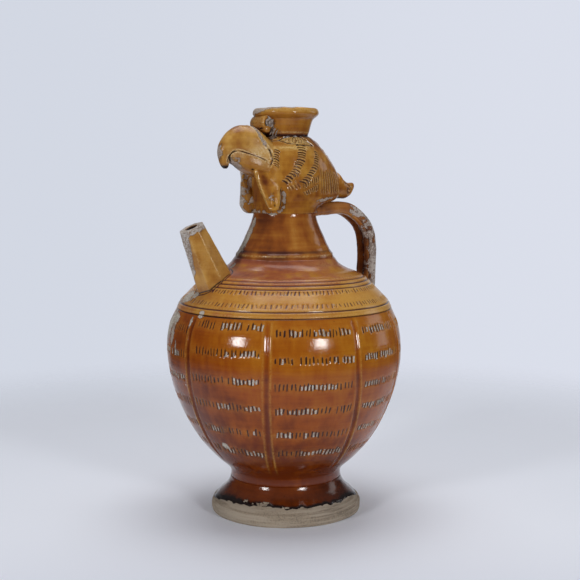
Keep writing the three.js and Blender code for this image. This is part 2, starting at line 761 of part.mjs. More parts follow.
function rollGeometry(sign) {
  const aside = sign * (rollRadius + seatGap / 2);
  const route = new THREE.CatmullRomCurve3(handlePathShares.map(([out, up]) => new THREE.Vector3(
    mix(handleRootReach, handleReach, out), aside, mix(seamHeight, handleTop, up),
  )));
  const section = new THREE.Shape(Array.from({ length: rollSides }, (_, i) => {
    const turn = (2 * Math.PI * (i + 0.5)) / rollSides;
    return new THREE.Vector2(rollRadius * Math.cos(turn), rollRadius * Math.sin(turn));
  }));
  return new THREE.ExtrudeGeometry(section, {
    steps: rollSteps, bevelEnabled: false, extrudePath: route,
  });
}

addPiece("handle_roll_right", cutBy(rollGeometry(-1), headCutter, neckCutter, shoulderCutter),
  wornGlaze);
addPiece("handle_roll_left", cutBy(rollGeometry(1), headCutter, neckCutter, shoulderCutter),
  wornGlaze);

// Spout
const spoutBlank = spoutBar(spoutTipRadius, spoutRootRadius, spoutFacets, 0, spoutRootRadius);
addPiece("spout", cutBy(spoutBlank, shoulderCutter, spoutBore), amberGlaze);

export default ewer;
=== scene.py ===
import math

import bpy
import numpy as np
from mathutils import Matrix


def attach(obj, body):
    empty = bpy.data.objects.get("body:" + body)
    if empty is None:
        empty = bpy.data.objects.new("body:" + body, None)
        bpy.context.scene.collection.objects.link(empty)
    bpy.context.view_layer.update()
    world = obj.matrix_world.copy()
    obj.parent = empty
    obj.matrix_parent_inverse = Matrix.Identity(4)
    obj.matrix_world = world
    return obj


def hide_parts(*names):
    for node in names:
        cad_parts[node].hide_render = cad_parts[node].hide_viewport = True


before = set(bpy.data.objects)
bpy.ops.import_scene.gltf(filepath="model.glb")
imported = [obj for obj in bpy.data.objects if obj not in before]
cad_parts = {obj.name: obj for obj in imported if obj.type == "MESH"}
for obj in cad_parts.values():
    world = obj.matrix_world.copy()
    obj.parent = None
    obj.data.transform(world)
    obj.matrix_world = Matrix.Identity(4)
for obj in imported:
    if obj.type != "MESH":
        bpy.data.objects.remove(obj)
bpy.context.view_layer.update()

# Foot
# A heavy splayed pedestal, turned from buff-grey stoneware and hollowed a little underneath. The
# potter held it by the rim for dipping, so the amber glaze stops above the rim in a dark uneven
# edge, with a few bare flakes in it, and the rim shows the turning lines of the clay.
MM = 0.001


def drawn_line(points, step):
    """A smooth line through the points, with a place about every step of its length."""
    points = np.asarray(points, float)
    gap = np.maximum(np.linalg.norm(np.diff(points, axis=0), axis=1), 1e-9)
    rate = np.diff(points, axis=0) / gap[:, None]
    slope = np.vstack([rate[:1], rate[:-1], rate[-1:]])
    if len(points) > 2:
        before, after = gap[:-1, None], gap[1:, None]
        slope = np.vstack([rate[:1], (rate[:-1] * after + rate[1:] * before) / (before + after), rate[-1:]])
    places = []
    for i, length in enumerate(gap):
        count = max(1, math.ceil(length / step))
        t = (np.arange(count) / count)[:, None]
        places.append((2 * t**3 - 3 * t**2 + 1) * points[i] + (t**3 - 2 * t**2 + t) * length * slope[i]
                      + (3 * t**2 - 2 * t**3) * points[i + 1] + (t**3 - t**2) * length * slope[i + 1])
    return np.vstack(places + [points[-1:]])


def hand_wobble(places, size, seed):
    """Smooth unevenness from -1 to 1 over places in millimetres, the same on every run."""
    table = np.random.default_rng(seed).uniform(-1, 1, (32, 32, 32))
    cell = np.asarray(places) / size
    low = np.floor(cell).astype(int)
    part = cell - low
    part = part * part * (3 - 2 * part)
    total = 0
    for corner in np.ndindex(2, 2, 2):
        at = (low + corner) % 32
        weight = np.prod(np.where(corner, part, 1 - part), axis=-1)
        total = total + weight * table[at[..., 0], at[..., 1], at[..., 2]]
    return total


def thrown(outline, turns):
    """A grid of places on the form that an outline of (radius, height) sweeps round the wheel's axis."""
    radius, height = np.asarray(outline, float).T
    return np.stack([radius[:, None] * np.cos(turns), radius[:, None] * np.sin(turns),
                     np.repeat(height[:, None], len(turns), axis=1)], axis=-1)


def outward(grid):
    """The direction straight out of the clay at every place of a grid whose columns run round."""
    round_way = np.roll(grid, -1, axis=1) - np.roll(grid, 1, axis=1)
    along = np.gradient(grid, axis=0)
    normal = np.cross(round_way, along)
    return normal / np.maximum(np.linalg.norm(normal, axis=-1, keepdims=True), 1e-9)


def peak(values, at, wide):
    """1 where values are at a place, and falling off to 0 on both sides of it."""
    return np.exp(-((values - at) / wide) ** 2)


def rising(values, start, over):
    """0 up to a start, and then rising evenly to 1 over a distance."""
    return np.clip((values - start) / over, 0, 1)


def falling(values, end, over):
    """1 until a distance before an end, and then falling evenly to 0 at that end."""
    return np.clip((end - values) / over, 0, 1)


def facing(turns, turn_degrees, tight):
    """1 on the side that faces a place round the axis, and falling off to 0 away from it."""
    return np.exp(tight * (np.cos(turns - math.radians(turn_degrees)) - 1))


# How far the middle of the pot drifts sideways at some heights, and which way it drifts
drift_levels = [20, 60, 165, 199, 300, 350, 388]
drift_reach = [1.2, 0.5, -0.6, -0.4, 0, 0, 1.4]
drift_way = np.array([0.866, -0.5, 0])


def clay_body(name, grids, marks, hollow=False):
    """One mesh of closed skins. A grid's columns run round. Its first and last rows are closed over,
    or joined to each other where it is hollow. Marks from 0 to 1 at every place steer the glaze's colour,
    and in some places they paint shade and sheen into it. The pot was thrown and put together by hand,
    and its middle drifts sideways a little with height."""
    places, faces, kept = [], [], {key: [] for key in marks[0]}
    base = 0
    for grid, mark in zip(grids, marks):
        rows, columns = grid.shape[:2]
        number = np.arange(rows * columns).reshape(rows, columns)
        low, high = (number, np.roll(number, -1, axis=0)) if hollow else (number[:-1], number[1:])
        quads = np.stack([low, np.roll(low, -1, axis=1), np.roll(high, -1, axis=1), high],
                         axis=-1).reshape(-1, 4)
        flat = grid.reshape(-1, 3)
        hubs = np.array([grid[0].mean(axis=0), grid[-1].mean(axis=0)])
        first, last = rows * columns, rows * columns + 1
        fans = []
        if not hollow:
            fans = [[first, number[0][(i + 1) % columns], number[0][i]] for i in range(columns)]
            fans += [[last, number[-1][i], number[-1][(i + 1) % columns]] for i in range(columns)]
        a, b, c, d = (flat[quads[:, k]] for k in range(4))
        volume = np.einsum("ij,ij->", a, np.cross(b, c)) + np.einsum("ij,ij->", a, np.cross(c, d))
        turned = [face[::-1] for face in quads.tolist() + fans] if volume < 0 else quads.tolist() + fans
        faces += [[base + corner for corner in face] for face in turned]
        places.append(flat if hollow else np.vstack([flat, hubs]))
        for key, values in mark.items():
            ends = [] if hollow else [values[0].mean(), values[-1].mean()]
            kept[key].append(np.concatenate([values.ravel(), ends]))
        base += len(places[-1])
    mesh = bpy.data.meshes.new(name)
    places = np.vstack(places)
    places = places + np.interp(places[:, 2], drift_levels, drift_reach)[:, None] * drift_way
    mesh.from_pydata((places * MM).tolist(), [], faces)
    for key, values in kept.items():
        layer = mesh.attributes.new(key, "FLOAT", "POINT")
        layer.data.foreach_set("value", np.clip(np.concatenate(values), 0, 1).astype(np.float32))
    mesh.shade_smooth()
    piece = bpy.data.objects.new(name, mesh)
    bpy.context.collection.objects.link(piece)
    return piece


def unmarked(grid):
    """Marks for a piece before any is made: glaze depth and painted shading, thin glaze and painted
    sheen, pooled glaze and painted shade, and worn-off glaze.
    """
    return {key: np.zeros(grid.shape[:2]) for key in ("depth_and_shading", "thin_and_sheen", "pooled_and_shade", "worn")}


def glaze_node(tree, kind, inputs, **settings):
    """One node of a finish. An input is a plain value or the output of another node."""
    made = tree.nodes.new(kind)
    for key, value in settings.items():
        setattr(made, key, value)
    for socket, value in inputs.items():
        if isinstance(value, bpy.types.NodeSocket):
            tree.links.new(value, made.inputs[socket])
        else:
            made.inputs[socket].default_value = value
    return made


def worked_out(tree, how, first, second):
    """The sum, product or other simple result of two numbers in a finish."""
    return glaze_node(tree, "ShaderNodeMath", {0: first, 1: second}, operation=how).outputs[0]


def faded(tree, value, low, high):
    """0 below low, 1 above high, and a smooth change between them."""
    ends = {"Value": value, "From Min": low, "From Max": high}
    return glaze_node(tree, "ShaderNodeMapRange", ends, interpolation_type="SMOOTHSTEP").outputs[0]


def laid_over(tree, amount, under, over):
    """One colour laid over another by an amount from 0 to 1."""
    return glaze_node(tree, "ShaderNodeMixRGB", {"Fac": amount, "Color1": under, "Color2": over}).outputs[0]


def grain(tree, where, size, detail=3.0, roughness=0.55):
    """Soft cloudy grain, its scale given as the number of clouds in a metre."""
    inputs = {"Vector": where, "Scale": size, "Detail": detail, "Roughness": roughness}
    return glaze_node(tree, "ShaderNodeTexNoise", inputs).outputs[0]


def amber_glaze(name, tones, thin_and_sheen, pooled_and_shade, bare, shine=0.14, wear_cut=0.5, bare_lines=0.0):
    """Amber lead glaze over stoneware. Tones run from golden to red-brown as the glaze gets thicker, and
    also where shade is painted. The thin colour is for ridges and painted sheen, the pooled colour for
    cuts and painted shade, and bare is the clay, light and dark, where it is lost."""
    finish = bpy.data.materials.new(name)
    finish.use_nodes = True
    tree = finish.node_tree
    tree.nodes.clear()

    def times(first, second):
        return worked_out(tree, "MULTIPLY", first, second)

    def plus(first, second):
        return worked_out(tree, "ADD", first, second)

    where = glaze_node(tree, "ShaderNodeTexCoord", {}).outputs["Object"]
    run_down = glaze_node(tree, "ShaderNodeMapping", {"Vector": where, "Scale": (1, 1, 0.16)}).outputs[0]
    round_rings = glaze_node(tree, "ShaderNodeMapping",
                             {"Vector": where, "Scale": (0.06, 0.06, 1)}).outputs[0]
    mark = {key: glaze_node(tree, "ShaderNodeAttribute", {}, attribute_name=key).outputs["Fac"]
            for key in ("depth_and_shading", "thin_and_sheen", "pooled_and_shade", "worn")}
    clouds = grain(tree, where, 42.0, 4.0)
    runs = grain(tree, run_down, 150.0, 3.0)
    rings = grain(tree, round_rings, 420.0, 2.0)
    fine = grain(tree, where, 640.0, 3.0, 0.6)
    speck = grain(tree, where, 1500.0, 1.0)
    crumbs = grain(tree, where, 300.0, 5.0, 0.7)

    depth = mark["depth_and_shading"]
    for cloud, amount in ((clouds, 0.75), (runs, 0.55), (rings, 0.3)):
        shift = worked_out(tree, "SUBTRACT", cloud, 0.5)
        depth = plus(depth, times(shift, amount))
    tone = glaze_node(tree, "ShaderNodeValToRGB", {"Fac": depth})
    ramp = tone.color_ramp
    while len(ramp.elements) < len(tones):
        ramp.elements.new(0.5)
    for element, (position, colour) in zip(ramp.elements, tones):
        element.position = position
        element.color = (*colour, 1)
    colour = laid_over(tree, faded(tree, speck, 0.7, 0.78), tone.outputs[0], (*pooled_and_shade, 1))
    light = times(mark["thin_and_sheen"], faded(tree, fine, 0.3, 0.6))
    colour = laid_over(tree, light, colour, (*thin_and_sheen, 1))
    colour = laid_over(tree, faded(tree, mark["pooled_and_shade"], 0.12, 0.8), colour, (*pooled_and_shade, 1))

    ragged = worked_out(tree, "SUBTRACT", crumbs, 0.5)
    lost = plus(mark["worn"], times(ragged, 1.5))
    broken = worked_out(tree, "SUBTRACT", fine, 0.5)
    lost = plus(lost, times(broken, 0.5))
    lost = times(lost, faded(tree, mark["worn"], 0.02, 0.2))
    chipped = faded(tree, lost, wear_cut, wear_cut + 0.08)
    edge = faded(tree, lost, wear_cut - 0.16, wear_cut)
    colour = laid_over(tree, times(edge, 0.55), colour, (*pooled_and_shade, 1))
    dirt = faded(tree, plus(clouds, times(broken, 1.6)), 0.4, 0.66)
    clay = laid_over(tree, dirt, (*bare[0], 1), (*bare[1], 1))
    if bare_lines:
        lines = times(faded(tree, rings, 0.4, 0.62), bare_lines)
        clay = laid_over(tree, lines, clay, (*bare[2], 1))
    colour = laid_over(tree, chipped, colour, clay)

    gloss = plus(times(clouds, 0.08), shine - 0.07)
    rough = glaze_node(tree, "ShaderNodeMapRange",
                       {"Value": chipped, "To Min": gloss, "To Max": 0.78}).outputs[0]
    cracks = glaze_node(tree, "ShaderNodeTexVoronoi", {"Vector": where, "Scale": 260.0},
                        feature="DISTANCE_TO_EDGE")
    crazing = faded(tree, cracks.outputs["Distance"], 0.0, 0.05)
    height = times(fine, 0.22)
    height = plus(height, times(crazing, 0.05))
    height = plus(height, times(rings, 0.35))
    flake = times(chipped, plus(times(crumbs, 0.8), -1.4))
    height = plus(height, flake)
    bump = glaze_node(tree, "ShaderNodeBump", {"Height": height, "Strength": 0.55, "Distance": 0.0004})
    clay_shader = {"Base Color": colour, "Roughness": rough, "Normal": bump.outputs[0],
                   "IOR": 1.56, "Specular IOR Level": 0.3}
    shader = glaze_node(tree, "ShaderNodeBsdfPrincipled", clay_shader)
    end = tree.nodes.new("ShaderNodeOutputMaterial")
    tree.links.new(shader.outputs[0], end.inputs[0])
    return finish


def set_in_place(piece, finish, slot, *nodes):
    """Gives a piece its finish, and lets it stand for its solids on the one rigid body."""
    piece.data.materials.append(finish)
    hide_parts(*nodes)
    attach(piece, "root")


foot_join, foot_join_radius = 33.1, 53.75
hollow_deep, standing_radius = 3, 70.9
rim_radius, rim_level, rim_top_radius = 72.0, 10.5, 71.5
glaze_level, glaze_dip, glaze_thick = 17.2, 5.2, 0.55
foot_turns = np.linspace(-math.pi, math.pi, 480, endpoint=False)
foot_under = [(4, hollow_deep), (26, hollow_deep), (49.6, hollow_deep), (50.6, 2.4), (51.4, 0.7),
              (52.2, 0.05), (58, 0), (standing_radius, 0)]
foot_rim = [(standing_radius, 0), (71.9, 0.35), (72.5, 1.5), (72.8, 4), (72.6, 8.6), (72.2, 9.7),
            (rim_top_radius, rim_level)]
foot_flare = [(rim_top_radius, rim_level), (68.6, 13.4), (64.8, 16.9), (61.6, 19.6), (59.0, 22.2),
              (56.1, 26), (54.4, 30), (foot_join_radius, foot_join)]
foot_top = [(foot_join_radius, foot_join), (50, 33.2), (20, 33.2), (4, 33.2)]
foot_outline = np.vstack([drawn_line(foot_under, 2.5)[:-1], drawn_line(foot_rim, 0.5)[:-1],
                          drawn_line(foot_flare, 0.45)[:-1], drawn_line(foot_top, 4)])
foot_grid = thrown(foot_outline, foot_turns)
foot_marks = unmarked(foot_grid)
foot_height = foot_grid[..., 2]
foot_side = np.hypot(foot_grid[..., 0], foot_grid[..., 1]) > 53
around_rim = thrown([(rim_radius, 0)], foot_turns)[0]
glaze_edge = glaze_level + 1.5 * hand_wobble(around_rim, 26, 11) + 0.9 * hand_wobble(around_rim, 7, 12)
glaze_edge = glaze_edge + 0.5 * hand_wobble(around_rim, 2.5, 13)
for dip_degrees in (152, -32):
    glaze_edge = glaze_edge - glaze_dip * facing(foot_turns, dip_degrees, 17)
above_edge = foot_height - glaze_edge
foot_bare = np.where(foot_side & (foot_height < foot_join), 1 / (1 + np.exp(above_edge * 5)), 0)
foot_bare = np.where(foot_side, foot_bare, 1.0)
thick_edge = 1.3 + 4.2 * facing(foot_turns, -184, 3) + 2.4 * facing(foot_turns, -48, 5)
foot_marks["pooled_and_shade"] = np.where(foot_side, peak(np.maximum(above_edge, 0), 0, thick_edge), 0) * 0.95
shaded = np.clip(np.cos(foot_turns - math.radians(-15)), 0, 1)
foot_marks["depth_and_shading"] = 0.5 + 0.25 * hand_wobble(foot_grid, 18, 14) + 0.5 * shaded
# Flakes above the glaze's edge: place round the axis in degrees, height, half width, half height
foot_flakes = [(-157, 19.6, 3.4, 1.9), (-142, 18.4, 10.0, 1.7), (-137, 20.0, 4.2, 1.6),
               (-121, 17.3, 6.5, 0.9), (60, 19.0, 7, 1.8), (150, 14.0, 6, 1.5)]
flaring_radius = 62
ragged_flakes = 0.64 + 0.3 * hand_wobble(foot_grid * (1, 1, 2), 1.6, 17)
for turn_degrees, height, wide, tall in foot_flakes:
    across = (foot_turns - math.radians(turn_degrees)) * flaring_radius
    patch = np.exp(-(across / wide) ** 4 - ((foot_height - height) / tall) ** 2)
    foot_bare = np.maximum(foot_bare, np.where(foot_side, patch * ragged_flakes, 0))
foot_marks["worn"] = foot_bare
seam_still = falling(foot_height, 33, 5)
glaze_swell = np.where(foot_side & (above_edge > 0), glaze_thick * (1 - np.exp(-above_edge / 0.7)), 0)
glaze_swell = glaze_swell * (1 - np.clip(foot_bare, 0, 1)) * seam_still
turning = 0.22 * hand_wobble(foot_grid * (0.02, 0.02, 1), 1.6, 15) * (foot_side & (foot_height < 17))
dents = 0.3 * hand_wobble(foot_grid, 14, 16) * foot_side * seam_still
rim_line = -0.55 * peak(foot_height, 9.5, 0.7) + 0.35 * peak(foot_height, 11, 0.6)
rim_line = rim_line * foot_side
foot_grid = foot_grid + outward(foot_grid) * (glaze_swell + turning + dents + rim_line)[..., None]
foot_grid[..., 2] = np.maximum(foot_grid[..., 2], 0)
foot_grid[foot_outline[:, 1] <= 0.06, :, 2] = 0
foot = clay_body("splayed_foot", [foot_grid], [foot_marks])
foot_tones = [(0.0, (0.22, 0.062, 0.006)), (0.5, (0.13, 0.025, 0.004)), (1.0, (0.055, 0.011, 0.003))]
foot_clay = [(0.31, 0.25, 0.182), (0.215, 0.17, 0.125), (0.4, 0.335, 0.26)]
foot_finish = amber_glaze("foot_glaze_over_buff_clay", foot_tones, (0.3, 0.12, 0.03), (0.012, 0.006, 0.005),
                          foot_clay, shine=0.15, bare_lines=0.75)
set_in_place(foot, foot_finish, "foot_glaze_and_biscuit", "foot")

# Body
# A big round belly, thrown in the same clay over the foot. While it was leather-hard, eight flutes
# were drawn down it with a round stick, which left a burr on both sides, and rows of short upright
# cuts were pressed between them. The glaze pools in the cuts, and has sprung off between many.
body_join, cut_length = 199.0, 8.4
flute_depth, flute_lip, cut_depth = 1.15, 0.45, 0.95
flake_depth, body_seam_depth, bare_depth = 0.16, 0.3, 0.2
fine_step, coarse_step = 1.0, 2.4
body_turns = np.radians(np.concatenate([np.arange(-180, -12, 0.46), np.arange(-12, 160, 0.92),
                                        np.arange(160, 179.8, 0.5)]))
belly_profile = [(53.7, foot_join), (53.4, 38), (54.7, 42), (58.2, 46), (65.3, 52), (73.4, 60), (81.9, 70),
                 (89.9, 82), (97.4, 96), (104.1, 112), (109.1, 128), (112.3, 144), (113.3, 160),
                 (112.2, 174), (109.5, 186), (105.4, 195), (103.7, body_join)]
cut_rows = [186.9, 160.9, 139.6, 117.8, 95.6, 75.4]
fine_profile = drawn_line(belly_profile, 0.3)
body_levels = [foot_join]
while body_levels[-1] < body_join - 0.2:
    by_cuts = min(abs(body_levels[-1] + 0.8 - row) for row in cut_rows) < 7.6
    by_join = body_levels[-1] > body_join - 3.5
    body_levels.append(body_levels[-1] + (fine_step if by_cuts or by_join else coarse_step))
body_levels[-1] = body_join
body_levels = np.array(body_levels)
body_radius = np.interp(body_levels, fine_profile[:, 1], fine_profile[:, 0])
body_outside = np.stack([body_radius, body_levels], axis=1)
body_under = np.array([(3, 33.3), (30, 33.3), (48, 33.2)])
body_inside = drawn_line([(97, body_join), (98.6, 195), (103, 182), (106.2, 160), (104, 138), (95, 108),
                          (80, 80), (62, 58), (48, 47), (30, 42.5), (3, 42)], 14)
body_outline = np.vstack([body_under, body_outside, body_inside])
body_grid = thrown(body_outline, body_turns)
body_marks = unmarked(body_grid)
skin_rows = slice(len(body_under), len(body_under) + len(body_outside))


def way_round(turns, at):
    """The angle from one place round the axis to others, from half a turn back to half a turn on."""
    return (turns - at + math.pi) % (2 * math.pi) - math.pi


def upright_strip(turns, turn_degrees, wide):
    """1 on an upright strip of the wall, and falling off to 0 on both sides of it."""
    return peak(way_round(turns, math.radians(turn_degrees)), 0, wide)[None, :]


def lost_glaze(turns, heights, reach, patches):
    """How far the glaze is lost, from patches of place round the axis in degrees, height, half width,
    half height and strength. Reach gives the clay's radius at a height."""
    lost = 0
    for turn_degrees, level, wide, tall, strength in patches:
        across = way_round(turns, math.radians(turn_degrees)) * reach(level)
        lost = lost + strength * np.exp(-(across / wide) ** 2 - ((heights - level) / tall) ** 2)
    return lost


def short_cut(into, levels, turns, radius, at, low, high, lean, wide, amount=1.0):
    """Presses one upright cut into an array over levels and turns: deepest in its middle line."""
    rows = np.flatnonzero((levels > low) & (levels < high))
    columns = np.flatnonzero(np.abs(way_round(turns, at)) * radius < abs(lean) + 2.6 * wide)
    if len(rows) and len(columns):
        up = (levels[rows] - (low + high) / 2)[:, None] / ((high - low) / 2)
        across = way_round(turns[columns], at)[None, :] * radius - lean * up
        shape = amount * peak(across, 0, wide) * np.clip((1 - np.abs(up)) * 3.5, 0, 1)
        into[np.ix_(rows, columns)] = np.maximum(into[np.ix_(rows, columns)], shape)


# Each flute is its place round the axis in degrees at the seam and at the waist, how far its top
# bends aside, the height where it runs out, and how strong its left and right burrs are
flutes = [(-167.5, -176), (-126.3, -130), (-86.6, -77), (-50.5, -43), (-1, 4), (46, 50), (93, 95),
          (140, 140)]
flute_tops = [-2.7, -1.2, 2.7, 0, 0, 0, 0, 0]
flute_paths = []
for (high, low), top in zip(flutes, flute_tops):
    straight_way = np.interp(body_levels, [40, body_join], [math.radians(low), math.radians(high)])
    flute_paths.append(straight_way + math.radians(top) * rising(body_levels, 150, 50))
flute_ends = [60, 52, 55, 58, 54, 60, 56, 52]
flute_burrs = [(1.0, 0.3), (0.6, 0.85), (0.4, 1.0), (0.55, 0.9), (0.9, 0.6), (0.7, 0.8), (0.5, 1.0),
               (0.9, 0.5)]
flute_dip = np.zeros((len(body_levels), len(body_turns)))
flute_burr = np.zeros_like(flute_dip)
up_the_pot = np.stack([0 * body_levels, 0 * body_levels, body_levels], axis=1)
for k, path in enumerate(flute_paths):
    wander = 0.5 * hand_wobble(up_the_pot + (40 * k, 0, 0), 34, 21)
    across = way_round(body_turns[None, :], path[:, None]) * body_radius[:, None] + wander[:, None]
    fade = np.clip((body_levels - flute_ends[k] + 6) / 14, 0, 1) * falling(body_levels, 197.6, 2.5)
    left, right = flute_burrs[k]
    patchy = 0.75 + 0.45 * hand_wobble(up_the_pot + (9 * k, 0, 0), 11, 27)
    burr = left * peak(across, -3.6, 1.0) + right * peak(across, 3.4, 0.95)
    flute_dip = np.maximum(flute_dip, peak(across, 0, 1.9) * fade[:, None])
    flute_burr = np.maximum(flute_burr, burr * (fade * patchy)[:, None])

# Where the glaze has sprung off between cuts: panel, row, and shares of the panel's width
flaked_cuts = [(0, 0, 0.42, 0.72), (0, 0, 0.8, 0.98), (0, 1, 0.5, 0.9), (0, 2, 0.62, 0.9),
               (0, 3, 0.38, 0.56), (0, 3, 0.7, 1), (0, 4, 0.2, 0.3), (0, 4, 0.75, 0.85), (0, 5, 0.3, 0.42),
               (0, 5, 0.6, 0.95), (1, 0, 0.22, 0.36), (1, 0, 0.46, 0.66), (1, 0, 0.8, 0.92),
               (1, 1, 0.1, 0.18), (1, 1, 0.7, 0.97), (1, 2, 0.3, 0.72), (1, 3, 0.06, 0.16), (1, 3, 0.2, 0.5),
               (1, 4, 0.04, 0.28), (1, 4, 0.34, 0.56), (1, 5, 0.34, 0.92), (2, 0, 0.15, 0.6),
               (2, 1, 0.1, 0.75), (2, 2, 0.1, 0.6), (2, 3, 0.1, 0.7), (2, 4, 0.1, 0.6), (2, 5, 0.5, 0.6),
               (3, 1, 0.3, 0.6), (3, 3, 0.2, 0.5), (4, 0, 0.5, 0.8), (4, 2, 0.1, 0.5), (4, 4, 0.3, 0.7),
               (5, 1, 0.2, 0.6), (5, 2, 0.6, 0.9), (5, 5, 0.2, 0.5), (6, 0, 0.3, 0.6), (6, 3, 0.4, 0.9),
               (7, 1, 0.2, 0.8), (7, 2, 0.5, 0.9), (7, 4, 0.3, 0.6)]
cut_pressed = np.zeros_like(flute_dip)
cut_flaked = np.zeros_like(flute_dip)
cut_zone = np.zeros_like(flute_dip)
body_hand = np.random.default_rng(5)
# How far the rows of the first three panels lie above their level, from the top row down
row_lifts = {0: (4.9, 7.7, 4.2, 1.4, -1.4, -2.8), 1: (0, 2.1, -0.7, -1.4, -2.8, -2.1),
             2: (0, 2, -2, -1.4, -2, -4)}
for panel in range(len(flutes)):
    for row, level in enumerate(cut_rows):
        radius = np.interp(level, body_levels, body_radius)
        start = np.interp(level, body_levels, flute_paths[panel])
        end = np.interp(level, body_levels, flute_paths[(panel + 1) % len(flutes)])
        width = (end - start) % (2 * math.pi) * radius
        at = 6.5 + body_hand.uniform(0, 3)
        lift = body_hand.uniform(-1.2, 1.2) * (panel > 2) + row_lifts.get(panel, [0] * 6)[row]
        tilt = body_hand.uniform(-1.6, 1.6)
        while at < width - 5.5:
            share = at / width
            middle = level + lift + tilt * (share - 0.5) + body_hand.uniform(-0.7, 0.7)
            tall = cut_length * body_hand.uniform(0.62, 1.05) / 2
            lean = body_hand.uniform(-0.35, 0.55)
            turn = start + at / radius
            if body_hand.uniform() > 0.06:
                short_cut(cut_pressed, body_levels, body_turns, radius, turn, middle - tall, middle + tall,
                          lean, body_hand.uniform(0.52, 0.8), body_hand.uniform(0.75, 1.05))
            step = body_hand.uniform(2.9, 4.6)
            flaked = any(panel == p and row == r and low < share < high for p, r, low, high in flaked_cuts)
            if flaked and body_hand.uniform() > 0.12:
                short_cut(cut_flaked, body_levels, body_turns, radius, turn + step / 2 / radius,
                          middle - tall * 0.9, middle + tall * 0.8, lean, body_hand.uniform(0.95, 1.45),
                          body_hand.uniform(0.85, 1.1))
            across = way_round(body_turns, turn) * radius
            zone = np.exp(-(across[None, :] / 3.5) ** 2 - ((body_levels[:, None] - middle) / 4.2) ** 2)
            cut_zone = np.maximum(cut_zone, zone)
            at += step

# Bigger lost patches: place round the axis in degrees, height, half width, half height, strength
body_losses = [(-166.5, 197.6, 3.4, 1.8, 1.2), (163, 186, 9, 17, 1.0), (157, 176, 5, 12, 1.0),
               (170, 192, 8, 5, 0.9), (150, 160, 7, 16, 0.9), (171, 176, 5, 10, 0.85),
               (154, 130, 5, 12, 0.75), (160, 100, 4, 9, 0.6), (-172.5, 192, 2.4, 6, 0.9),
               (177, 168, 2.2, 9, 0.7), (-159.5, 76.3, 4.2, 3.6, 1.15), (-175, 133, 1.0, 1.0, 1.1),
               (-60, 66, 5, 2.0, 0.6), (20, 150, 6, 8, 0.7), (75, 108, 9, 5, 0.7), (118, 178, 7, 6, 0.8),
               (-22, 122, 4, 3, 0.7)]
body_lost = lost_glaze(body_turns[None, :], body_levels[:, None],
                       lambda level: np.interp(level, body_levels, body_radius), body_losses)

body_skin = body_grid[skin_rows]
glaze_bands = np.interp(body_levels, [34, 46, 58, 80, 104, 122, 148, 152, 176, 199],
                        [1.18, 1.12, 0.92, 0.78, 0.69, 0.63, 0.55, 0.43, 0.32, 0.26])[:, None]
depth_and_shading = glaze_bands + 0.07 * hand_wobble(body_skin * (1, 1, 0.4), 22, 22) + 0.3 * flute_dip - 0.1 * cut_zone
# Painted shade: the belly is painted darker towards its left side, most on an upright strip there, and
# lighter on the side away from it.
side_shade = 0.1 * np.cos(way_round(body_turns, math.radians(-175)))[None, :]
body_marks["depth_and_shading"][skin_rows] = depth_and_shading + side_shade + 0.25 * upright_strip(body_turns, -176, 0.3)
body_marks["thin_and_sheen"][skin_rows] = (0.7 * flute_burr + 0.42 * cut_zone
                                 * (0.5 + 0.5 * hand_wobble(body_skin * (1, 1, 0.25), 1.7, 23)))
body_marks["pooled_and_shade"][skin_rows] = 1.25 * cut_pressed + 0.12 * flute_dip
body_marks["worn"][skin_rows] = body_lost + 0.92 * cut_flaked * (1 - cut_pressed)
body_marks["depth_and_shading"][-len(body_inside):] = 0.8
seam_dip = peak(body_levels, body_join, 1.1)[:, None] * (1 + 0.6 * upright_strip(body_turns, -152, 0.4))
body_marks["pooled_and_shade"][skin_rows] = np.maximum(body_marks["pooled_and_shade"][skin_rows], 0.62 * seam_dip)
body_form = 0.45 * hand_wobble(body_skin, 46, 24) + 0.16 * hand_wobble(body_skin, 15, 25)
body_form = body_form + 0.07 * hand_wobble(body_skin * (0.05, 0.05, 1), 4, 26)
body_form = body_form * (rising(body_levels, 33.3, 8) * falling(body_levels, body_join, 6))[:, None]
body_relief = body_form - flute_depth * flute_dip + flute_lip * flute_burr - cut_depth * cut_pressed
body_relief = (body_relief - flake_depth * cut_flaked - body_seam_depth * seam_dip
               - bare_depth * np.clip(body_lost, 0, 1))
body_grid[skin_rows] += outward(body_grid)[skin_rows] * body_relief[..., None]
body = clay_body("round_belly", [body_grid], [body_marks])
amber_tones = [(0.0, (0.46, 0.18, 0.014)), (0.34, (0.36, 0.105, 0.006)), (0.62, (0.28, 0.062, 0.004)),
               (1.0, (0.13, 0.022, 0.003))]
body_bare = [(0.52, 0.475, 0.41), (0.31, 0.25, 0.2)]
body_finish = amber_glaze("body_amber_glaze", amber_tones, (0.52, 0.27, 0.05), (0.035, 0.014, 0.012),
                          body_bare)
set_in_place(body, body_finish, "body_glaze", "body")

# Shoulder
# The upper half of the pot, thrown apart as a dome and luted to the belly at the double groove. The
# potter turned three more grooves with the wheel running, pressed two rows of small cuts below
# them, and the glaze lies thick and smooth on the slope above.
shoulder_base, shoulder_top = 199.1, 246.6
ring_depth, ring_lip, small_cut_depth = 0.85, 0.2, 0.6
spout_root, spout_run = np.array([-77.0, 0, 230]), np.array([-21.8, 0, 47.4])
shoulder_profile = [(103.6, shoulder_base), (101.4, 204), (94.4, 212), (86.5, 220), (78.5, 228), (70, 232.5),
                    (60.3, 236.2), (51.7, 242), (48.4, shoulder_top)]
shoulder_line = drawn_line(shoulder_profile, 0.72)
shoulder_inside = drawn_line([(41.8, shoulder_top), (44, 239), (54, 230.5), (72, 222), (88, 208),
                              (95.5, 199), (96.2, 195.2)], 9)
shoulder_seat = np.array([(96.2, 195.2), (96.3, shoulder_base)])
shoulder_rows = slice(len(shoulder_seat), len(shoulder_seat) + len(shoulder_line))
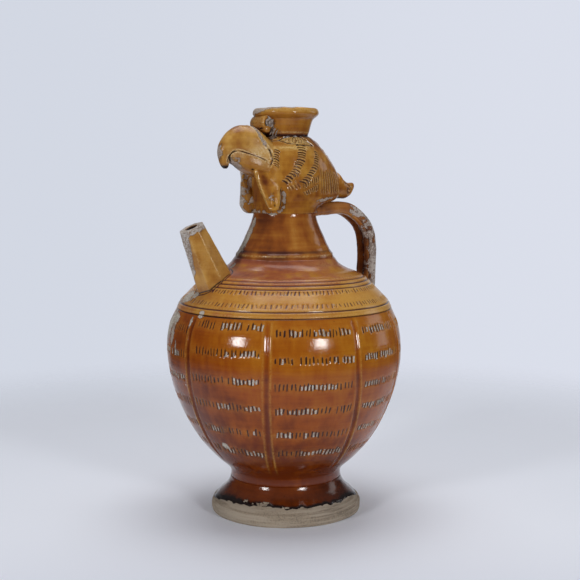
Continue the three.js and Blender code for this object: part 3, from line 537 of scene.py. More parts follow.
shoulder_outline = np.vstack([shoulder_seat, shoulder_line, shoulder_inside[:-1]])
shoulder_turns = np.linspace(-math.pi, math.pi, 700, endpoint=False)
shoulder_grid = thrown(shoulder_outline, shoulder_turns)
shoulder_marks = unmarked(shoulder_grid)
slope_levels = shoulder_line[:, 1]
slope_way = np.concatenate([[0], np.cumsum(np.linalg.norm(np.diff(shoulder_line, axis=0), axis=1))])


def up_slope(level):
    """How far up the shoulder's slope a height lies, measured along the clay."""
    return np.interp(level, slope_levels, slope_way)


shoulder_cuts = np.zeros((len(shoulder_line), len(shoulder_turns)))
shoulder_flaked = np.zeros_like(shoulder_cuts)
shoulder_hand = np.random.default_rng(9)
for level, tall, pitch in ((209.4, 3.3, 4.1), (220.0, 3.0, 3.8)):
    radius = np.interp(up_slope(level), slope_way, shoulder_line[:, 0])
    at = 0.0
    while at < 2 * math.pi * radius - pitch / 2:
        half = tall * shoulder_hand.uniform(0.65, 1.05)
        middle = up_slope(level) + shoulder_hand.uniform(-0.5, 0.5)
        lean = shoulder_hand.uniform(-0.5, 0.9)
        short_cut(shoulder_cuts, slope_way, shoulder_turns, radius, at / radius - math.pi, middle - half,
                  middle + half, lean, shoulder_hand.uniform(0.55, 0.85), shoulder_hand.uniform(0.7, 1.1))
        step = pitch * shoulder_hand.uniform(0.75, 1.25)
        if shoulder_hand.uniform() > 0.55:
            short_cut(shoulder_flaked, slope_way, shoulder_turns, radius, (at + step / 2) / radius - math.pi,
                      middle - half, middle + half, lean, 0.9, shoulder_hand.uniform(0.6, 1.0))
        at += step
ring_cuts = np.zeros(len(slope_way))
for level, wide, amount in ((204.6, 0.85, 1.0), (222.9, 0.8, 0.9), (226.2, 0.85, 1.0), (229.2, 0.8, 0.85)):
    ring_cuts = np.maximum(ring_cuts, amount * peak(slope_way, up_slope(level), wide))
ring_edges = np.zeros(len(slope_way))
for level in (200.6, 203.4, 206, 221.6, 224.5, 227.7, 230.6):
    ring_edges = np.maximum(ring_edges, peak(slope_way, up_slope(level), 0.7))
shoulder_losses = [(168, 211, 12, 9, 1.0), (155, 204, 10, 6, 0.9), (178, 215, 5, 6, 0.8),
                   (150, 214, 8, 7, 0.8), (-166, 200.8, 3.6, 2.0, 1.25), (176, 240, 5, 6, 0.7),
                   (30, 210, 9, 5, 0.8), (88, 216, 8, 4, 0.7), (8, 214, 5, 5, 0.7), (120, 204, 9, 4, 0.7)]
shoulder_losses = [(turn, up_slope(level), *spread) for turn, level, *spread in shoulder_losses]
shoulder_lost = lost_glaze(shoulder_turns[None, :], slope_way[:, None],
                           lambda way: np.interp(way, slope_way, shoulder_line[:, 0]), shoulder_losses)
shoulder_skin = shoulder_grid[shoulder_rows]
shoulder_rich = np.interp(slope_levels, [199, 206, 214, 221, 230, 238, 247],
                          [0.3, 0.2, 0.16, 0.3, 0.6, 0.68, 0.8])
shoulder_streaks = hand_wobble(shoulder_skin * (0.12, 0.12, 1), 3.4, 34)
# Painted sheen: an upright strip on the right of the front of the slope is painted lighter and paler,
# streaked with the throwing lines.
painted_sheen_side = upright_strip(shoulder_turns, -62, 0.55)
above_cuts = (slope_levels > 221)[:, None]
shoulder_marks["depth_and_shading"][shoulder_rows] = (shoulder_rich[:, None] + 0.08 * hand_wobble(shoulder_skin, 20, 31)
                                         - 0.24 * painted_sheen_side + 0.2 * shoulder_streaks * above_cuts)
shoulder_marks["pooled_and_shade"][shoulder_rows] = 0.85 * ring_cuts[:, None] + 0.9 * shoulder_cuts
shoulder_marks["thin_and_sheen"][shoulder_rows] = (0.45 * ring_edges[:, None] + 0.6 * shoulder_flaked
                                         + 0.3 * painted_sheen_side * (0.6 + 0.6 * shoulder_streaks))
shoulder_marks["worn"][shoulder_rows] = shoulder_lost + 0.5 * shoulder_flaked * (1 - shoulder_cuts)
# The dark line where the glaze gathers round the root of the spout
luted_radius, luted_taper = 19.2, 5.8
stem_share = np.clip((shoulder_skin - spout_root) @ spout_run / (spout_run @ spout_run), -0.4, 1)
stem_away = np.linalg.norm(shoulder_skin - spout_root - stem_share[..., None] * spout_run, axis=-1)
spout_line = np.exp(-((stem_away - luted_radius + luted_taper * stem_share) / 0.9) ** 2)
shoulder_marks["pooled_and_shade"][shoulder_rows] = np.maximum(shoulder_marks["pooled_and_shade"][shoulder_rows],
                                                     0.8 * spout_line)
throwing = hand_wobble(shoulder_skin * (0.05, 0.05, 1), 1.9, 33)
shoulder_relief = 0.1 * hand_wobble(shoulder_skin, 30, 32) + 0.16 * throwing * (slope_levels > 229)[:, None]
shoulder_relief = shoulder_relief * np.clip(slope_way / 6, 0, 1)[:, None]
shoulder_relief = shoulder_relief + (ring_lip * ring_edges - ring_depth * ring_cuts)[:, None]
shoulder_relief = shoulder_relief - small_cut_depth * shoulder_cuts
shoulder_relief = shoulder_relief - 0.3 * peak(slope_way, 0, 0.8)[:, None]
shoulder_grid[shoulder_rows] += outward(shoulder_grid)[shoulder_rows] * shoulder_relief[..., None]
shoulder = clay_body("domed_shoulder", [shoulder_grid], [shoulder_marks], hollow=True)
shoulder_tones = [(0.0, (0.54, 0.265, 0.045)), (0.3, (0.45, 0.185, 0.028)), (0.55, (0.36, 0.11, 0.04)),
                  (0.8, (0.26, 0.07, 0.034)), (1.0, (0.15, 0.045, 0.018))]
shoulder_finish = amber_glaze("shoulder_amber_glaze", shoulder_tones, (0.64, 0.39, 0.12),
                              (0.06, 0.018, 0.026), body_bare, shine=0.22)
set_in_place(shoulder, shoulder_finish, "body_glaze", "shoulder")

# Neck
# A thrown cone that carries the head. A bead and a groove were turned at its foot, where the glaze
# gathers dark, and the slip that lutes it to the shoulder shows as a soft roll.
neck_base, neck_top, neck_middle_radius = 246.3, 289.2, 38
neck_profile = [(48.6, neck_base), (47.4, 247.8), (46.9, 249.2), (46.7, 250.4), (45.3, 252.2), (44, 254),
                (42.9, 256.4), (40.9, 260), (38.3, 266), (34.6, 274), (31.6, 282), (30.3, 286.6),
                (30, neck_top)]
neck_line = drawn_line(neck_profile, 0.75)
neck_inside = drawn_line([(23.6, neck_top), (24.6, 284), (30, 268), (36, 256), (40.6, 247), (41.2, 242)], 6)
neck_outline = np.vstack([[(41.2, 242), (41.3, neck_base)], neck_line, neck_inside])
neck_rows = slice(2, 2 + len(neck_line))
neck_turns = np.linspace(-math.pi, math.pi, 420, endpoint=False)
neck_grid = thrown(neck_outline, neck_turns)
neck_marks = unmarked(neck_grid)
neck_skin = neck_grid[neck_rows]
neck_levels = neck_line[:, 1][:, None]
neck_streaks = hand_wobble(neck_skin * (1, 1, 0.12), 9, 41)
neck_lines = hand_wobble(neck_skin * (0.1, 0.1, 1), 2.3, 45)
neck_rich = np.interp(neck_levels, [247, 252, 257, 270, 285, 292], [0.78, 0.62, 0.62, 0.54, 0.64, 0.72])
neck_marks["depth_and_shading"][neck_rows] = (neck_rich + 0.3 * neck_streaks + 0.18 * neck_lines
                                 - 0.26 * upright_strip(neck_turns, -108, 0.3))
neck_pooled = 0.62 * peak(neck_levels, 253.4, 1.9) * (0.85 + 0.3 * neck_streaks)
neck_marks["pooled_and_shade"][neck_rows] = 0.35 * peak(neck_levels, 248, 0.7) + neck_pooled
neck_marks["thin_and_sheen"][neck_rows] = (0.8 * peak(neck_levels, 250, 0.9)
                                 * (0.6 + 0.4 * hand_wobble(neck_skin, 6, 42)))
neck_losses = [(-141, 288.8, 9, 1.3, 0.9), (172, 268, 7, 12, 1.0), (162, 254, 8, 7, 1.0),
               (176, 281, 4, 5, 0.8), (150, 286, 8, 5, 0.9), (30, 262, 5, 8, 0.6), (70, 252, 7, 3, 0.7)]
neck_marks["worn"][neck_rows] = lost_glaze(neck_turns[None, :], neck_levels,
                                           lambda level: neck_middle_radius, neck_losses)
neck_relief = 0.14 * hand_wobble(neck_skin, 16, 43) + 0.12 * neck_lines
neck_grid[neck_rows] += outward(neck_grid)[neck_rows] * neck_relief[..., None]
neck = clay_body("cone_neck", [neck_grid], [neck_marks], hollow=True)
neck_tones = [(0.0, (0.52, 0.255, 0.05)), (0.34, (0.37, 0.132, 0.019)), (0.62, (0.26, 0.072, 0.011)),
              (1.0, (0.12, 0.03, 0.008))]
neck_finish = amber_glaze("neck_amber_glaze", neck_tones, (0.64, 0.4, 0.14), (0.045, 0.014, 0.014),
                          body_bare)
set_in_place(neck, neck_finish, "body_glaze", "neck")

# Head
# The bird's head, a thrown ball squeezed out behind into a nape, and hollow into the neck and the
# cup. The almond eyes, the fold behind the beak and the bands of feathers were cut with a knife in
# the leather-hard clay, and each cut threw up a thin burr that the glaze leaves light.
head_base, head_crown, head_middle_radius, eye_radius = 289.3, 362.1, 36, 35
knife_depth, burr_tall, crease_depth, fold_depth, lip_tall, eye_depth = 1.05, 0.4, 0.8, 0.9, 0.55, 0.35
# Rings of height, reach to the front, reach to the back and half width
head_form = [(head_base, 30, 30, 30), (293.3, 30, 32.9, 30.5), (297.3, 30.4, 42.2, 31),
             (301.3, 30.7, 55.2, 31.5), (306.4, 30.7, 61.4, 32.6), (313.3, 30.7, 61.4, 33.6),
             (320.2, 30.7, 59.9, 34.5), (328.2, 31, 56.3, 35), (336.2, 32, 50.6, 34.5),
             (344.2, 33, 43.9, 32.9), (351.1, 32.3, 37.7, 30.3), (356.5, 29.7, 31.6, 26.8),
             (360.2, 25.2, 26, 24), (head_crown, 22, 22, 22)]
head_hollow = [(head_crown, 16, 16, 16), (354, 23, 28, 22), (344, 27, 39, 26.5), (328, 25, 44, 29),
               (312, 24.8, 44, 27.6), (299, 24.5, 40, 25), (head_base, 24, 24, 24)]
nape_pinch = 0.28
head_turns = np.radians(np.concatenate([np.arange(-180, -150, 1.25), np.arange(-150, -12, 0.52),
                                        np.arange(-12, 14, 1.0), np.arange(14, 150, 0.85),
                                        np.arange(150, 180, 1.25)]))


def head_rings(line):
    """Level rings of the head from rows of height, reach to the front, reach to the back, half width."""
    height, front, back, side = (values[:, None] for values in np.asarray(line).T)
    forward = np.cos(head_turns)
    reach = np.where(forward > 0, back, front)
    pinch = nape_pinch * np.clip((back - side) / side, 0, 1)
    width = side * np.where(forward > 0, 1 - pinch * forward**2, 1)
    return np.stack([reach * forward, width * np.sin(head_turns), height + 0 * forward], axis=-1)


def distance_to(places, line):
    """How far each place lies from a line of straight pieces."""
    nearest = np.full(places.shape[:-1], np.inf)
    for start, end in zip(line[:-1], line[1:]):
        run = end - start
        share = np.clip(((places - start) @ run) / (run @ run), 0, 1)
        nearest = np.minimum(nearest, np.linalg.norm(places - start - share[..., None] * run, axis=-1))
    return nearest


def knife_cut(skin, cut, burr, line, wide, amount=1.0):
    """Adds one cut along a line to a skin's map of cuts, and its burr to the map of burrs."""
    line = np.asarray(line, float)
    close = np.all((skin > line.min(axis=0) - 5) & (skin < line.max(axis=0) + 5), axis=-1)
    away = distance_to(skin[close], line)
    cut[close] = np.maximum(cut[close], amount * peak(away, 0, wide))
    burr[close] = np.maximum(burr[close], amount * peak(away, 1.9 * wide, 0.75 * wide))


head_line = drawn_line(head_form, 0.7)
head_skin = head_rings(head_line)
head_grid = np.concatenate([head_skin, head_rings(head_hollow)])
head_marks = unmarked(head_grid)
head_rows = slice(0, len(head_line))
head_cut = np.zeros(head_skin.shape[:2])
head_burr = np.zeros_like(head_cut)
head_bearing = np.arctan2(head_skin[..., 1], head_skin[..., 0])


def on_head(turn_degrees, height):
    """The place on the head's skin at a bearing from the axis and a height."""
    across = way_round(head_bearing, math.radians(turn_degrees)) * eye_radius
    at = np.argmin(across**2 + (head_skin[..., 2] - height) ** 2)
    return head_skin.reshape(-1, 3)[at]


def without_repeats(line, least):
    """The places of a line, but for those that lie closer than least to the one before."""
    return [place for i, place in enumerate(line) if i == 0 or np.linalg.norm(place - line[i - 1]) > least]


def head_line_on_both_sides(points, wide, amount=1.0):
    """Cuts a line through points of (bearing, height) into the near side of the head and the far one."""
    for side in (1, -1):
        line = without_repeats([on_head(side * turn, height) for turn, height in points], 0.01)
        if len(line) > 1:
            knife_cut(head_skin, head_cut, head_burr, line, wide, amount)


def feather_band(first, last, bow, count, seed):
    """The grooves of one band of feather strokes on both sides of the head, and the ridges between
    them. A stroke runs from one (bearing, height) to another, and bow bends the band's middle."""
    solving_steps = 9
    (a, b), (c, d) = np.array(first, float), np.array(last, float)
    skin = np.stack([np.abs(np.degrees(head_bearing)), head_skin[..., 2]], axis=-1)
    along, across = np.full(skin.shape[:2], 0.5), np.full(skin.shape[:2], 0.5)
    for _ in range(solving_steps):
        down = ((c - a) + across[..., None] * (d - b - c + a)
                - np.stack([4 * bow * (1 - 2 * along), 0 * along], axis=-1))
        over = ((b - a) + along[..., None] * (d - b - c + a)
                + np.stack([0 * across, 4 * (1 - 2 * across)], axis=-1))
        miss = a + along[..., None] * (c - a) + across[..., None] * (b - a) - skin
        miss = miss + (along * across)[..., None] * (d - b - c + a)
        miss = miss + np.stack([-4 * bow * along * (1 - along), 4 * across * (1 - across)], axis=-1)
        size = down[..., 0] * over[..., 1] - down[..., 1] * over[..., 0]
        size = np.where(np.abs(size) < 1, 1, size)
        along_step = (miss[..., 0] * over[..., 1] - miss[..., 1] * over[..., 0]) / size
        across_step = (down[..., 0] * miss[..., 1] - down[..., 1] * miss[..., 0]) / size
        along = np.clip(along - along_step, -0.6, 1.6)
        across = np.clip(across - across_step, -0.6, 1.6)
    uneven = np.random.default_rng(seed)
    # Which stroke each place lies on, counted from the first and spaced a little unevenly
    stroke = along * (count - 1)
    stroke = stroke + np.interp(stroke, np.arange(count), uneven.uniform(-0.16, 0.16, count))
    nearest = np.clip(np.round(stroke), 0, count - 1).astype(int)
    starts = uneven.uniform(-0.08, 0.1, count)
    ends = uneven.uniform(0.9, 1.08, count)
    depth = uneven.uniform(0.7, 1.0, count)
    shown = rising(across, starts[nearest], 0.08) * falling(across, ends[nearest], 0.1)
    shown = shown * np.clip(4 * stroke + 2, 0, 1) * np.clip((count - 0.5 - stroke) * 4, 0, 1)
    wave = 0.5 + 0.5 * np.cos(2 * math.pi * stroke)
    return shown * depth[nearest] * wave**1.1, shown * (1 - wave) ** 1.3


# Bands of feather strokes: first stroke, last stroke, bow, how many, and how deep
feather_bands = [
    (((138.8, 348.6), (126.7, 346.7)), ((137.5, 334.2), (127.7, 330.4)), 0, 8, 0.95),
    (((98.2, 352.5), (78.6, 351.6)), ((124.1, 319.9), (114.1, 316)), 8.6, 16, 1.0),
    (((62, 347.1), (53.5, 345.3)), ((95.7, 319), (80.8, 316.4)), 6, 14, 0.9),
    (((116.1, 315.4), (110.1, 310.7)), ((99.8, 316.8), (93.3, 312.4)), 0, 4, 0.7),
    (((87.8, 309.4), (81.8, 305.3)), ((60, 316.8), (58, 310.4)), 1, 8, 0.85),
    (((56, 331), (50, 305)), ((22, 329), (11, 307.6)), 0, 9, 0.7),
]
for k, (first, last, bow, count, deep) in enumerate(feather_bands):
    grooves, ridges = feather_band(first, last, bow, count, 20 + k)
    head_cut = np.maximum(head_cut, deep * grooves)
    head_burr = np.maximum(head_burr, deep * ridges)
upper_lid = [(-132.1, 357.5), (-122.7, 359.9), (-113.9, 361), (-98.9, 361.6), (-81.5, 360.7), (-69, 357.6),
             (-59.3, 352.8)]
lower_lid = [(-132.1, 357.5), (-121, 356), (-113.9, 354.9), (-93, 353.6), (-75.9, 353), (-59.3, 352.8)]
# Lines of the eye: points of bearing and height, how wide, and how deep
eye_lines = [(upper_lid, 0.55, 0.9), (lower_lid, 0.6, 0.95),
             ([(-103.7, 357), (-103, 359.4), (-99.5, 360.5), (-95.8, 359.6), (-95.2, 357.2), (-97.5, 355.6),
               (-101.5, 355.5), (-103.7, 357)], 0.42, 0.75),
             ([(-91, 359.8), (-89, 357.6), (-91.5, 355.6)], 0.42, 0.55),
             ([(-84, 359.7), (-82, 357.4), (-84.5, 355.2)], 0.42, 0.55),
             ([(-77, 358.8), (-75.5, 356.8), (-77.5, 354.9)], 0.42, 0.5),
             ([(-110, 359.6), (-111.5, 357.6), (-109.5, 355.9)], 0.42, 0.5),
             ([(-118, 359), (-119, 357.4), (-117.5, 356.2)], 0.42, 0.5),
             ([(-153, 357), (-144.9, 357.3), (-132.1, 357.5)], 0.6, 0.7),
             ([(-150.2, 361.2), (-143, 359.4)], 0.7, 0.8), ([(-146, 361.7), (-139, 359.9)], 0.7, 0.8)]
for points, wide, amount in eye_lines:
    head_line_on_both_sides(points, wide, amount)

fold_line = drawn_line([(-40.4, 0, 370.9), (-40, -5, 370.3), (-38.8, -10.6, 368.1), (-37.6, -15.4, 364.5),
                        (-35.9, -19.3, 359.4), (-32.6, -20, 353.9), (-29.9, -20.7, 350.4),
                        (-27.2, -21.2, 347.1), (-25.7, -21.2, 342.1), (-25.5, -21.2, 338.3),
                        (-26.8, -19.6, 334.2)], 1.5)
mouth_line = drawn_line([(-26.6, -20.2, 337.4), (-33.1, -18.8, 340.3), (-39.8, -17.6, 343.2),
                         (-46.4, -16, 345.2), (-52.5, -13.5, 346.9), (-56.1, -11.4, 347.9),
                         (-59.2, -7.4, 346.5), (-60.8, -5, 344.9), (-62.9, -5.4, 341.2),
                         (-63.2, -5.1, 337.9)], 1.5)


def near_side(places):
    """The places with those on the far side mirrored onto the near side, where y is below zero."""
    x, y, z = np.moveaxis(places, -1, 0)
    return np.stack([x, -np.abs(y), z], axis=-1)


def from_line(places, line):
    """How far places lie from a line of the near side, or on the far side from its mirror line."""
    return distance_to(near_side(places), line)


def folded(places, line, wide):
    """A groove along a line of the near side and its mirror line, and the lip on each side of it."""
    away = from_line(places, line)
    return peak(away, 0, wide), peak(away, 2.3 * wide, wide)


def face_lines(places):
    """The fold behind the beak and the line of the mouth: their grooves, and their lips."""
    fold_cut, fold_lip = folded(places, fold_line, 0.75)
    mouth_cut, mouth_lip = folded(places, mouth_line, 0.62)
    return np.maximum(fold_cut, mouth_cut), np.maximum(fold_lip, mouth_lip) * (1 - mouth_cut)


head_fold, head_lip = face_lines(head_skin)
side_way = np.abs(np.degrees(head_bearing))
levels = head_skin[..., 2]
eye_top = np.interp(-side_way, *np.array(upper_lid).T)
eye_low = np.interp(-side_way, *np.array(lower_lid).T)
eye_open = (side_way > 59) & (side_way < 134.7) & (levels > eye_low) & (levels < eye_top)
crease_line = drawn_line([(28.5, -13.5, 352), (27.5, -19, 344), (26, -24, 336), (23, -27.5, 327)], 3)
crease = peak(from_line(head_skin, crease_line), 0, 2.3)
head_cut = head_cut * (1 - 0.5 * head_fold)
head_rich = np.interp(levels, [290, 300, 312, 330, 350, 362], [0.56, 0.58, 0.46, 0.34, 0.28, 0.46])
head_rich = head_rich + 0.2 * hand_wobble(head_skin, 11, 51) + 0.14 * hand_wobble(head_skin, 3.6, 52)
# The crease between the cheek and the nape is also painted darker, as painted shade in the valley.
head_rich = head_rich + 0.12 * crease + 0.16 * head_burr
cheek = np.exp(-((side_way - 132) / 13) ** 2 - ((levels - 327) / 11) ** 2)
head_marks["depth_and_shading"][head_rows] = head_rich + 0.15 * (side_way < 50) - 0.3 * cheek
# Painted sheen: a pale band is painted under the lower lid on both sides. The eye itself is painted pale,
# partly as thin glaze and partly as a painted reflection.
painted_sheen_under_eye = peak(levels, 350.6, 1.9) * rising(side_way, 66, 12)
painted_sheen_under_eye = (painted_sheen_under_eye * falling(side_way, 146, 8) * (1 - head_cut)
             * (0.85 + 0.4 * hand_wobble(head_skin, 5, 55)))
head_marks["thin_and_sheen"][head_rows] = (0.8 * head_burr * (1 - head_cut) ** 2 + 0.9 * head_lip + 0.95 * eye_open
                                 + painted_sheen_under_eye)
cup_shade = peak(levels, 361.6, 1.3)
head_marks["pooled_and_shade"][head_rows] = np.maximum(1.05 * head_cut**1.2, 0.95 * head_fold) + 0.7 * cup_shade
head_lost = 0.7 * peak(from_line(head_skin, fold_line), 1.6, 1.3) * (levels > 353)
slip_way = drawn_line([(-31.2, 0, 291), (-30.6, -6.5, 291.5), (-28.9, -11.7, 290.8), (-25.4, -17.1, 288),
                       (-22, -22.3, 289.5), (-18.6, -25.1, 292), (-16.4, -26.7, 296.5), (-15.8, -27.6, 302),
                       (-16.6, -27.2, 308.7)], 2)
slip = peak(from_line(head_skin, slip_way), 0, 2.4)
head_lost = head_lost + slip * (0.86 + 0.4 * hand_wobble(head_skin, 2.2, 56))
head_losses = [(-46, 301.3, 8, 1.8, 0.8), (-30, 303.2, 8, 1.5, 0.7), (-33, 344, 5, 12, 0.3),
               (-148, 360.5, 7, 3.2, 0.75), (28, 300, 14, 4, 0.9), (40, 338, 6, 9, 0.6),
               (100, 300, 10, 6, 0.7), (-8, 318, 4, 9, 0.45), (148, 360, 8, 4, 0.8)]
head_lost = head_lost + lost_glaze(head_bearing, levels, lambda level: head_middle_radius, head_losses)
head_marks["worn"][head_rows] = head_lost
seam_room = rising(levels, head_base, 2.5) * falling(levels, head_crown, 1.5)
head_relief = (0.35 * hand_wobble(head_skin, 15, 53) + 0.12 * hand_wobble(head_skin, 5, 54)) * seam_room
head_relief = (head_relief - knife_depth * head_cut + burr_tall * head_burr * (1 - head_cut)
               - crease_depth * crease)
head_relief = (head_relief - fold_depth * head_fold + lip_tall * head_lip
               - eye_depth * eye_open * (1 - head_cut))
head_grid[head_rows] += outward(head_grid)[head_rows] * head_relief[..., None]
head = clay_body("phoenix_head", [head_grid], [head_marks], hollow=True)
head_tones = [(0.0, (0.56, 0.285, 0.05)), (0.34, (0.4, 0.165, 0.022)), (0.66, (0.27, 0.09, 0.014)),
              (1.0, (0.14, 0.035, 0.01))]
head_bare = [(0.47, 0.385, 0.32), (0.3, 0.225, 0.175)]
head_finish = amber_glaze("head_amber_glaze", head_tones, (0.68, 0.45, 0.16), (0.04, 0.014, 0.01), head_bare)
set_in_place(head, head_finish, "head_glaze", "head")

# Upper beak
# A heavy hooked bill, modelled solid and luted to the face. Its glaze is thin and golden on the
# brow of the bill, worn to the clay down the front, and black where it gathered at the point.
mouth_depth, mouth_lip_tall, front_wear = 0.85, 0.55, 0.35
# Rings of the ridge's place and height, the edge's place and height, and half width
beak_shape = [(-21.3, 358.8, -17.9, 332.9, 21.6), (-36.9, 370, -34.8, 339.4, 19.8),
              (-44.7, 371.5, -42.6, 342.8, 17.5), (-52.5, 370.6, -49.7, 345.2, 14.6),
              (-59.6, 366.6, -55, 347.1, 11.7), (-65.3, 361, -58.9, 346.4, 9.2),
              (-69.2, 354.6, -61.2, 345, 7.5), (-71, 347, -62.3, 342.2, 6), (-70.1, 340.5, -61.9, 339, 5.3),
              (-68.4, 335.5, -61.2, 336, 4.6), (-66.4, 332.5, -61.4, 333, 3.4),
              (-64.9, 331.2, -62.2, 331.4, 1.9)]


def standing_rings(shape, columns, full_above, full_below):
    """Rings that stand across the head's middle plane, each from a ridge point to an edge point. A
    fullness under 1 squares the ring's corners on that side of its middle."""
    ridge_x, ridge_z, edge_x, edge_z, half = (values[:, None] for values in np.asarray(shape).T)
    turn = np.linspace(0, 2 * math.pi, columns, endpoint=False)
    full = np.where(np.cos(turn) > 0, full_above, full_below)
    up = np.sign(np.cos(turn)) * np.abs(np.cos(turn)) ** full
    across = np.sign(np.sin(turn)) * np.abs(np.sin(turn)) ** full
    return np.stack([(ridge_x + edge_x) / 2 + up * (ridge_x - edge_x) / 2, half * across,
                     (ridge_z + edge_z) / 2 + up * (ridge_z - edge_z) / 2], axis=-1), np.degrees(turn)


beak_grid, beak_turn = standing_rings(drawn_line(beak_shape, 0.8), 160, 1, 0.5)
beak_marks = unmarked(beak_grid)
beak_way = np.linspace(0, 1, len(beak_grid))[:, None]
# Painted shade: the underside of the bill is painted deeper in tone and darker.
beak_underside_shade = rising(90 - np.abs(beak_turn - 180), 42, 6)[None, :] + 0 * beak_way
beak_cut, beak_lip = face_lines(beak_grid)
beak_x, beak_z = beak_grid[..., 0], beak_grid[..., 2]
beak_point = peak(np.clip(beak_z - 332, 0, 99), 0, 2.8) * (beak_x < -60)
front_strip = (np.exp(-((beak_x + 71.5) / 3.0) ** 2 - ((beak_z - 347) / 11) ** 2)
               * (1 + 0.3 * hand_wobble(beak_grid, 3, 61)))
beak_clouds = 0.3 * hand_wobble(beak_grid * (1, 1, 0.6), 8, 62) + 0.16 * hand_wobble(beak_grid, 3, 63)
beak_marks["depth_and_shading"] = 0.28 + beak_clouds + 0.25 * beak_underside_shade + 0.14 * peak(beak_z, 371, 5)
beak_pale = np.exp(-(np.linalg.norm((near_side(beak_grid) - (-37, -18, 347)) / (9, 12, 5), axis=-1)) ** 2)
beak_marks["thin_and_sheen"] = np.clip(0.85 * beak_lip + 0.75 * beak_pale, 0, 1)
beak_marks["pooled_and_shade"] = np.clip(0.95 * beak_cut + 0.95 * beak_point + 0.5 * beak_underside_shade, 0, 1)
beak_behind = peak(from_line(beak_grid, fold_line), 0, 2.0) * (beak_z > 353)
beak_marks["worn"] = np.clip(0.95 * front_strip + 0.85 * beak_behind, 0, 1)
beak_relief = 0.3 * hand_wobble(beak_grid, 12, 64) + 0.1 * hand_wobble(beak_grid, 3.5, 65)
beak_relief = beak_relief - mouth_depth * beak_cut + mouth_lip_tall * beak_lip - front_wear * front_strip
beak_fade = np.clip((1 - beak_way) * 9, 0, 1)
beak_grid = beak_grid + outward(beak_grid) * beak_relief[..., None] * beak_fade[..., None]
upper_beak = clay_body("hooked_upper_beak", [beak_grid], [beak_marks])
beak_tones = [(0.0, (0.58, 0.32, 0.075)), (0.34, (0.43, 0.2, 0.034)), (0.66, (0.31, 0.115, 0.022)),
              (1.0, (0.13, 0.035, 0.01))]
beak_finish = amber_glaze("beak_amber_glaze", beak_tones, (0.72, 0.54, 0.28), (0.014, 0.008, 0.007),
                          head_bare, shine=0.32)
set_in_place(upper_beak, beak_finish, "head_glaze", "upper_beak")

# Lower beak
# The short lower bill, pressed up under the hook and smoothed back into the throat. The side that
# faces down has lost most of its glaze.
jaw_shape = [(-25.4, 341, -25.4, 321, 19.5), (-38.1, 344.4, -37.5, 325.5, 18.3),
             (-47.2, 347.7, -46, 329.4, 16.1), (-53.8, 349.5, -52, 333, 12.9),
             (-58.6, 347.7, -56.6, 335.4, 9.2), (-60.3, 345.3, -59.4, 336.6, 6.6),
             (-60.9, 343, -60.7, 338.6, 3)]
jaw_grid, jaw_turn = standing_rings(drawn_line(jaw_shape, 0.9), 120, 0.32, 1)
jaw_marks = unmarked(jaw_grid)
jaw_way = np.linspace(0, 1, len(jaw_grid))[:, None]
jaw_cut, jaw_lip = face_lines(jaw_grid)
jaw_under = rising(np.minimum(jaw_turn, 360 - jaw_turn)[None, :], 128, 22) + 0 * jaw_way
jaw_chin = rising(-jaw_grid[..., 0], 50, 5) * falling(jaw_grid[..., 2], 343.5, 2)
jaw_dark_spot = peak(np.linalg.norm(jaw_grid - (-41.8, -13.5, 330.4), axis=-1), 0, 1.5)
jaw_marks["depth_and_shading"] = 0.34 + 0.2 * hand_wobble(jaw_grid, 9, 71) + 0.2 * jaw_under
jaw_pale = peak(from_line(jaw_grid, mouth_line), 3.5, 2.8)
jaw_pale = jaw_pale * (0.5 + 0.6 * hand_wobble(jaw_grid, 4, 74))
jaw_marks["thin_and_sheen"] = np.clip(0.85 * jaw_lip + 0.6 * jaw_pale, 0, 1)
jaw_marks["pooled_and_shade"] = np.clip(0.95 * jaw_cut + jaw_dark_spot, 0, 1)
jaw_front = np.clip((-jaw_grid[..., 0] - 45) / 6, 0.25, 1)
jaw_marks["worn"] = np.clip(0.66 * jaw_under * jaw_front + 0.5 * jaw_chin, 0, 1)
jaw_relief = (0.35 * hand_wobble(jaw_grid, 9, 72) + 0.15 * hand_wobble(jaw_grid, 3, 73) + 0.5 * jaw_lip
              - mouth_depth * jaw_cut)
jaw_fade = np.clip((1 - jaw_way) * 9, 0, 1)
jaw_grid = jaw_grid + outward(jaw_grid) * jaw_relief[..., None] * jaw_fade[..., None]
lower_beak = clay_body("short_lower_beak", [jaw_grid], [jaw_marks])
set_in_place(lower_beak, beak_finish, "head_glaze", "lower_beak")

# Comb
# A flat strip of clay rolled forward into a scroll and set between the beak and the cup. The
# outside of the roll keeps its golden glaze, and its near end is worn down to pale grey clay.
comb_middle = (-24.8, 373.4)
comb_radius, comb_pitch, comb_strip, comb_half = 8.4, 5.3, 4.4, 13.3
comb_coil = np.radians(np.linspace(-20, 398, 190))
comb_out = comb_radius - comb_pitch * (comb_coil - comb_coil[0]) / (2 * math.pi)
comb_edge = np.linspace(0, 2 * math.pi, 72, endpoint=False)
comb_thick = 0.5 * comb_strip * np.sign(np.cos(comb_edge)) * np.abs(np.cos(comb_edge)) ** 0.55
comb_across = comb_half * np.sign(np.sin(comb_edge)) * np.abs(np.sin(comb_edge)) ** 0.28
comb_way = np.linspace(0, 1, len(comb_coil))[:, None]
comb_taper = np.sqrt(np.clip(1 - ((np.abs(comb_way - 0.5) - 0.47) / 0.03).clip(0, 1) ** 2, 0.02, 1))
comb_reach = comb_out[:, None] + comb_thick * comb_taper * (1 - 0.18 * comb_way)
comb_width = comb_across * (1 - 0.05 * comb_way) * (0.97 + 0.03 * comb_taper)
comb_grid = np.stack([comb_middle[0] + comb_reach * np.cos(comb_coil)[:, None], comb_width,
                      comb_middle[1] + comb_reach * np.sin(comb_coil)[:, None]], axis=-1)
comb_marks = unmarked(comb_grid)
comb_end = rising(np.abs(comb_width), 11.2, 1.6)
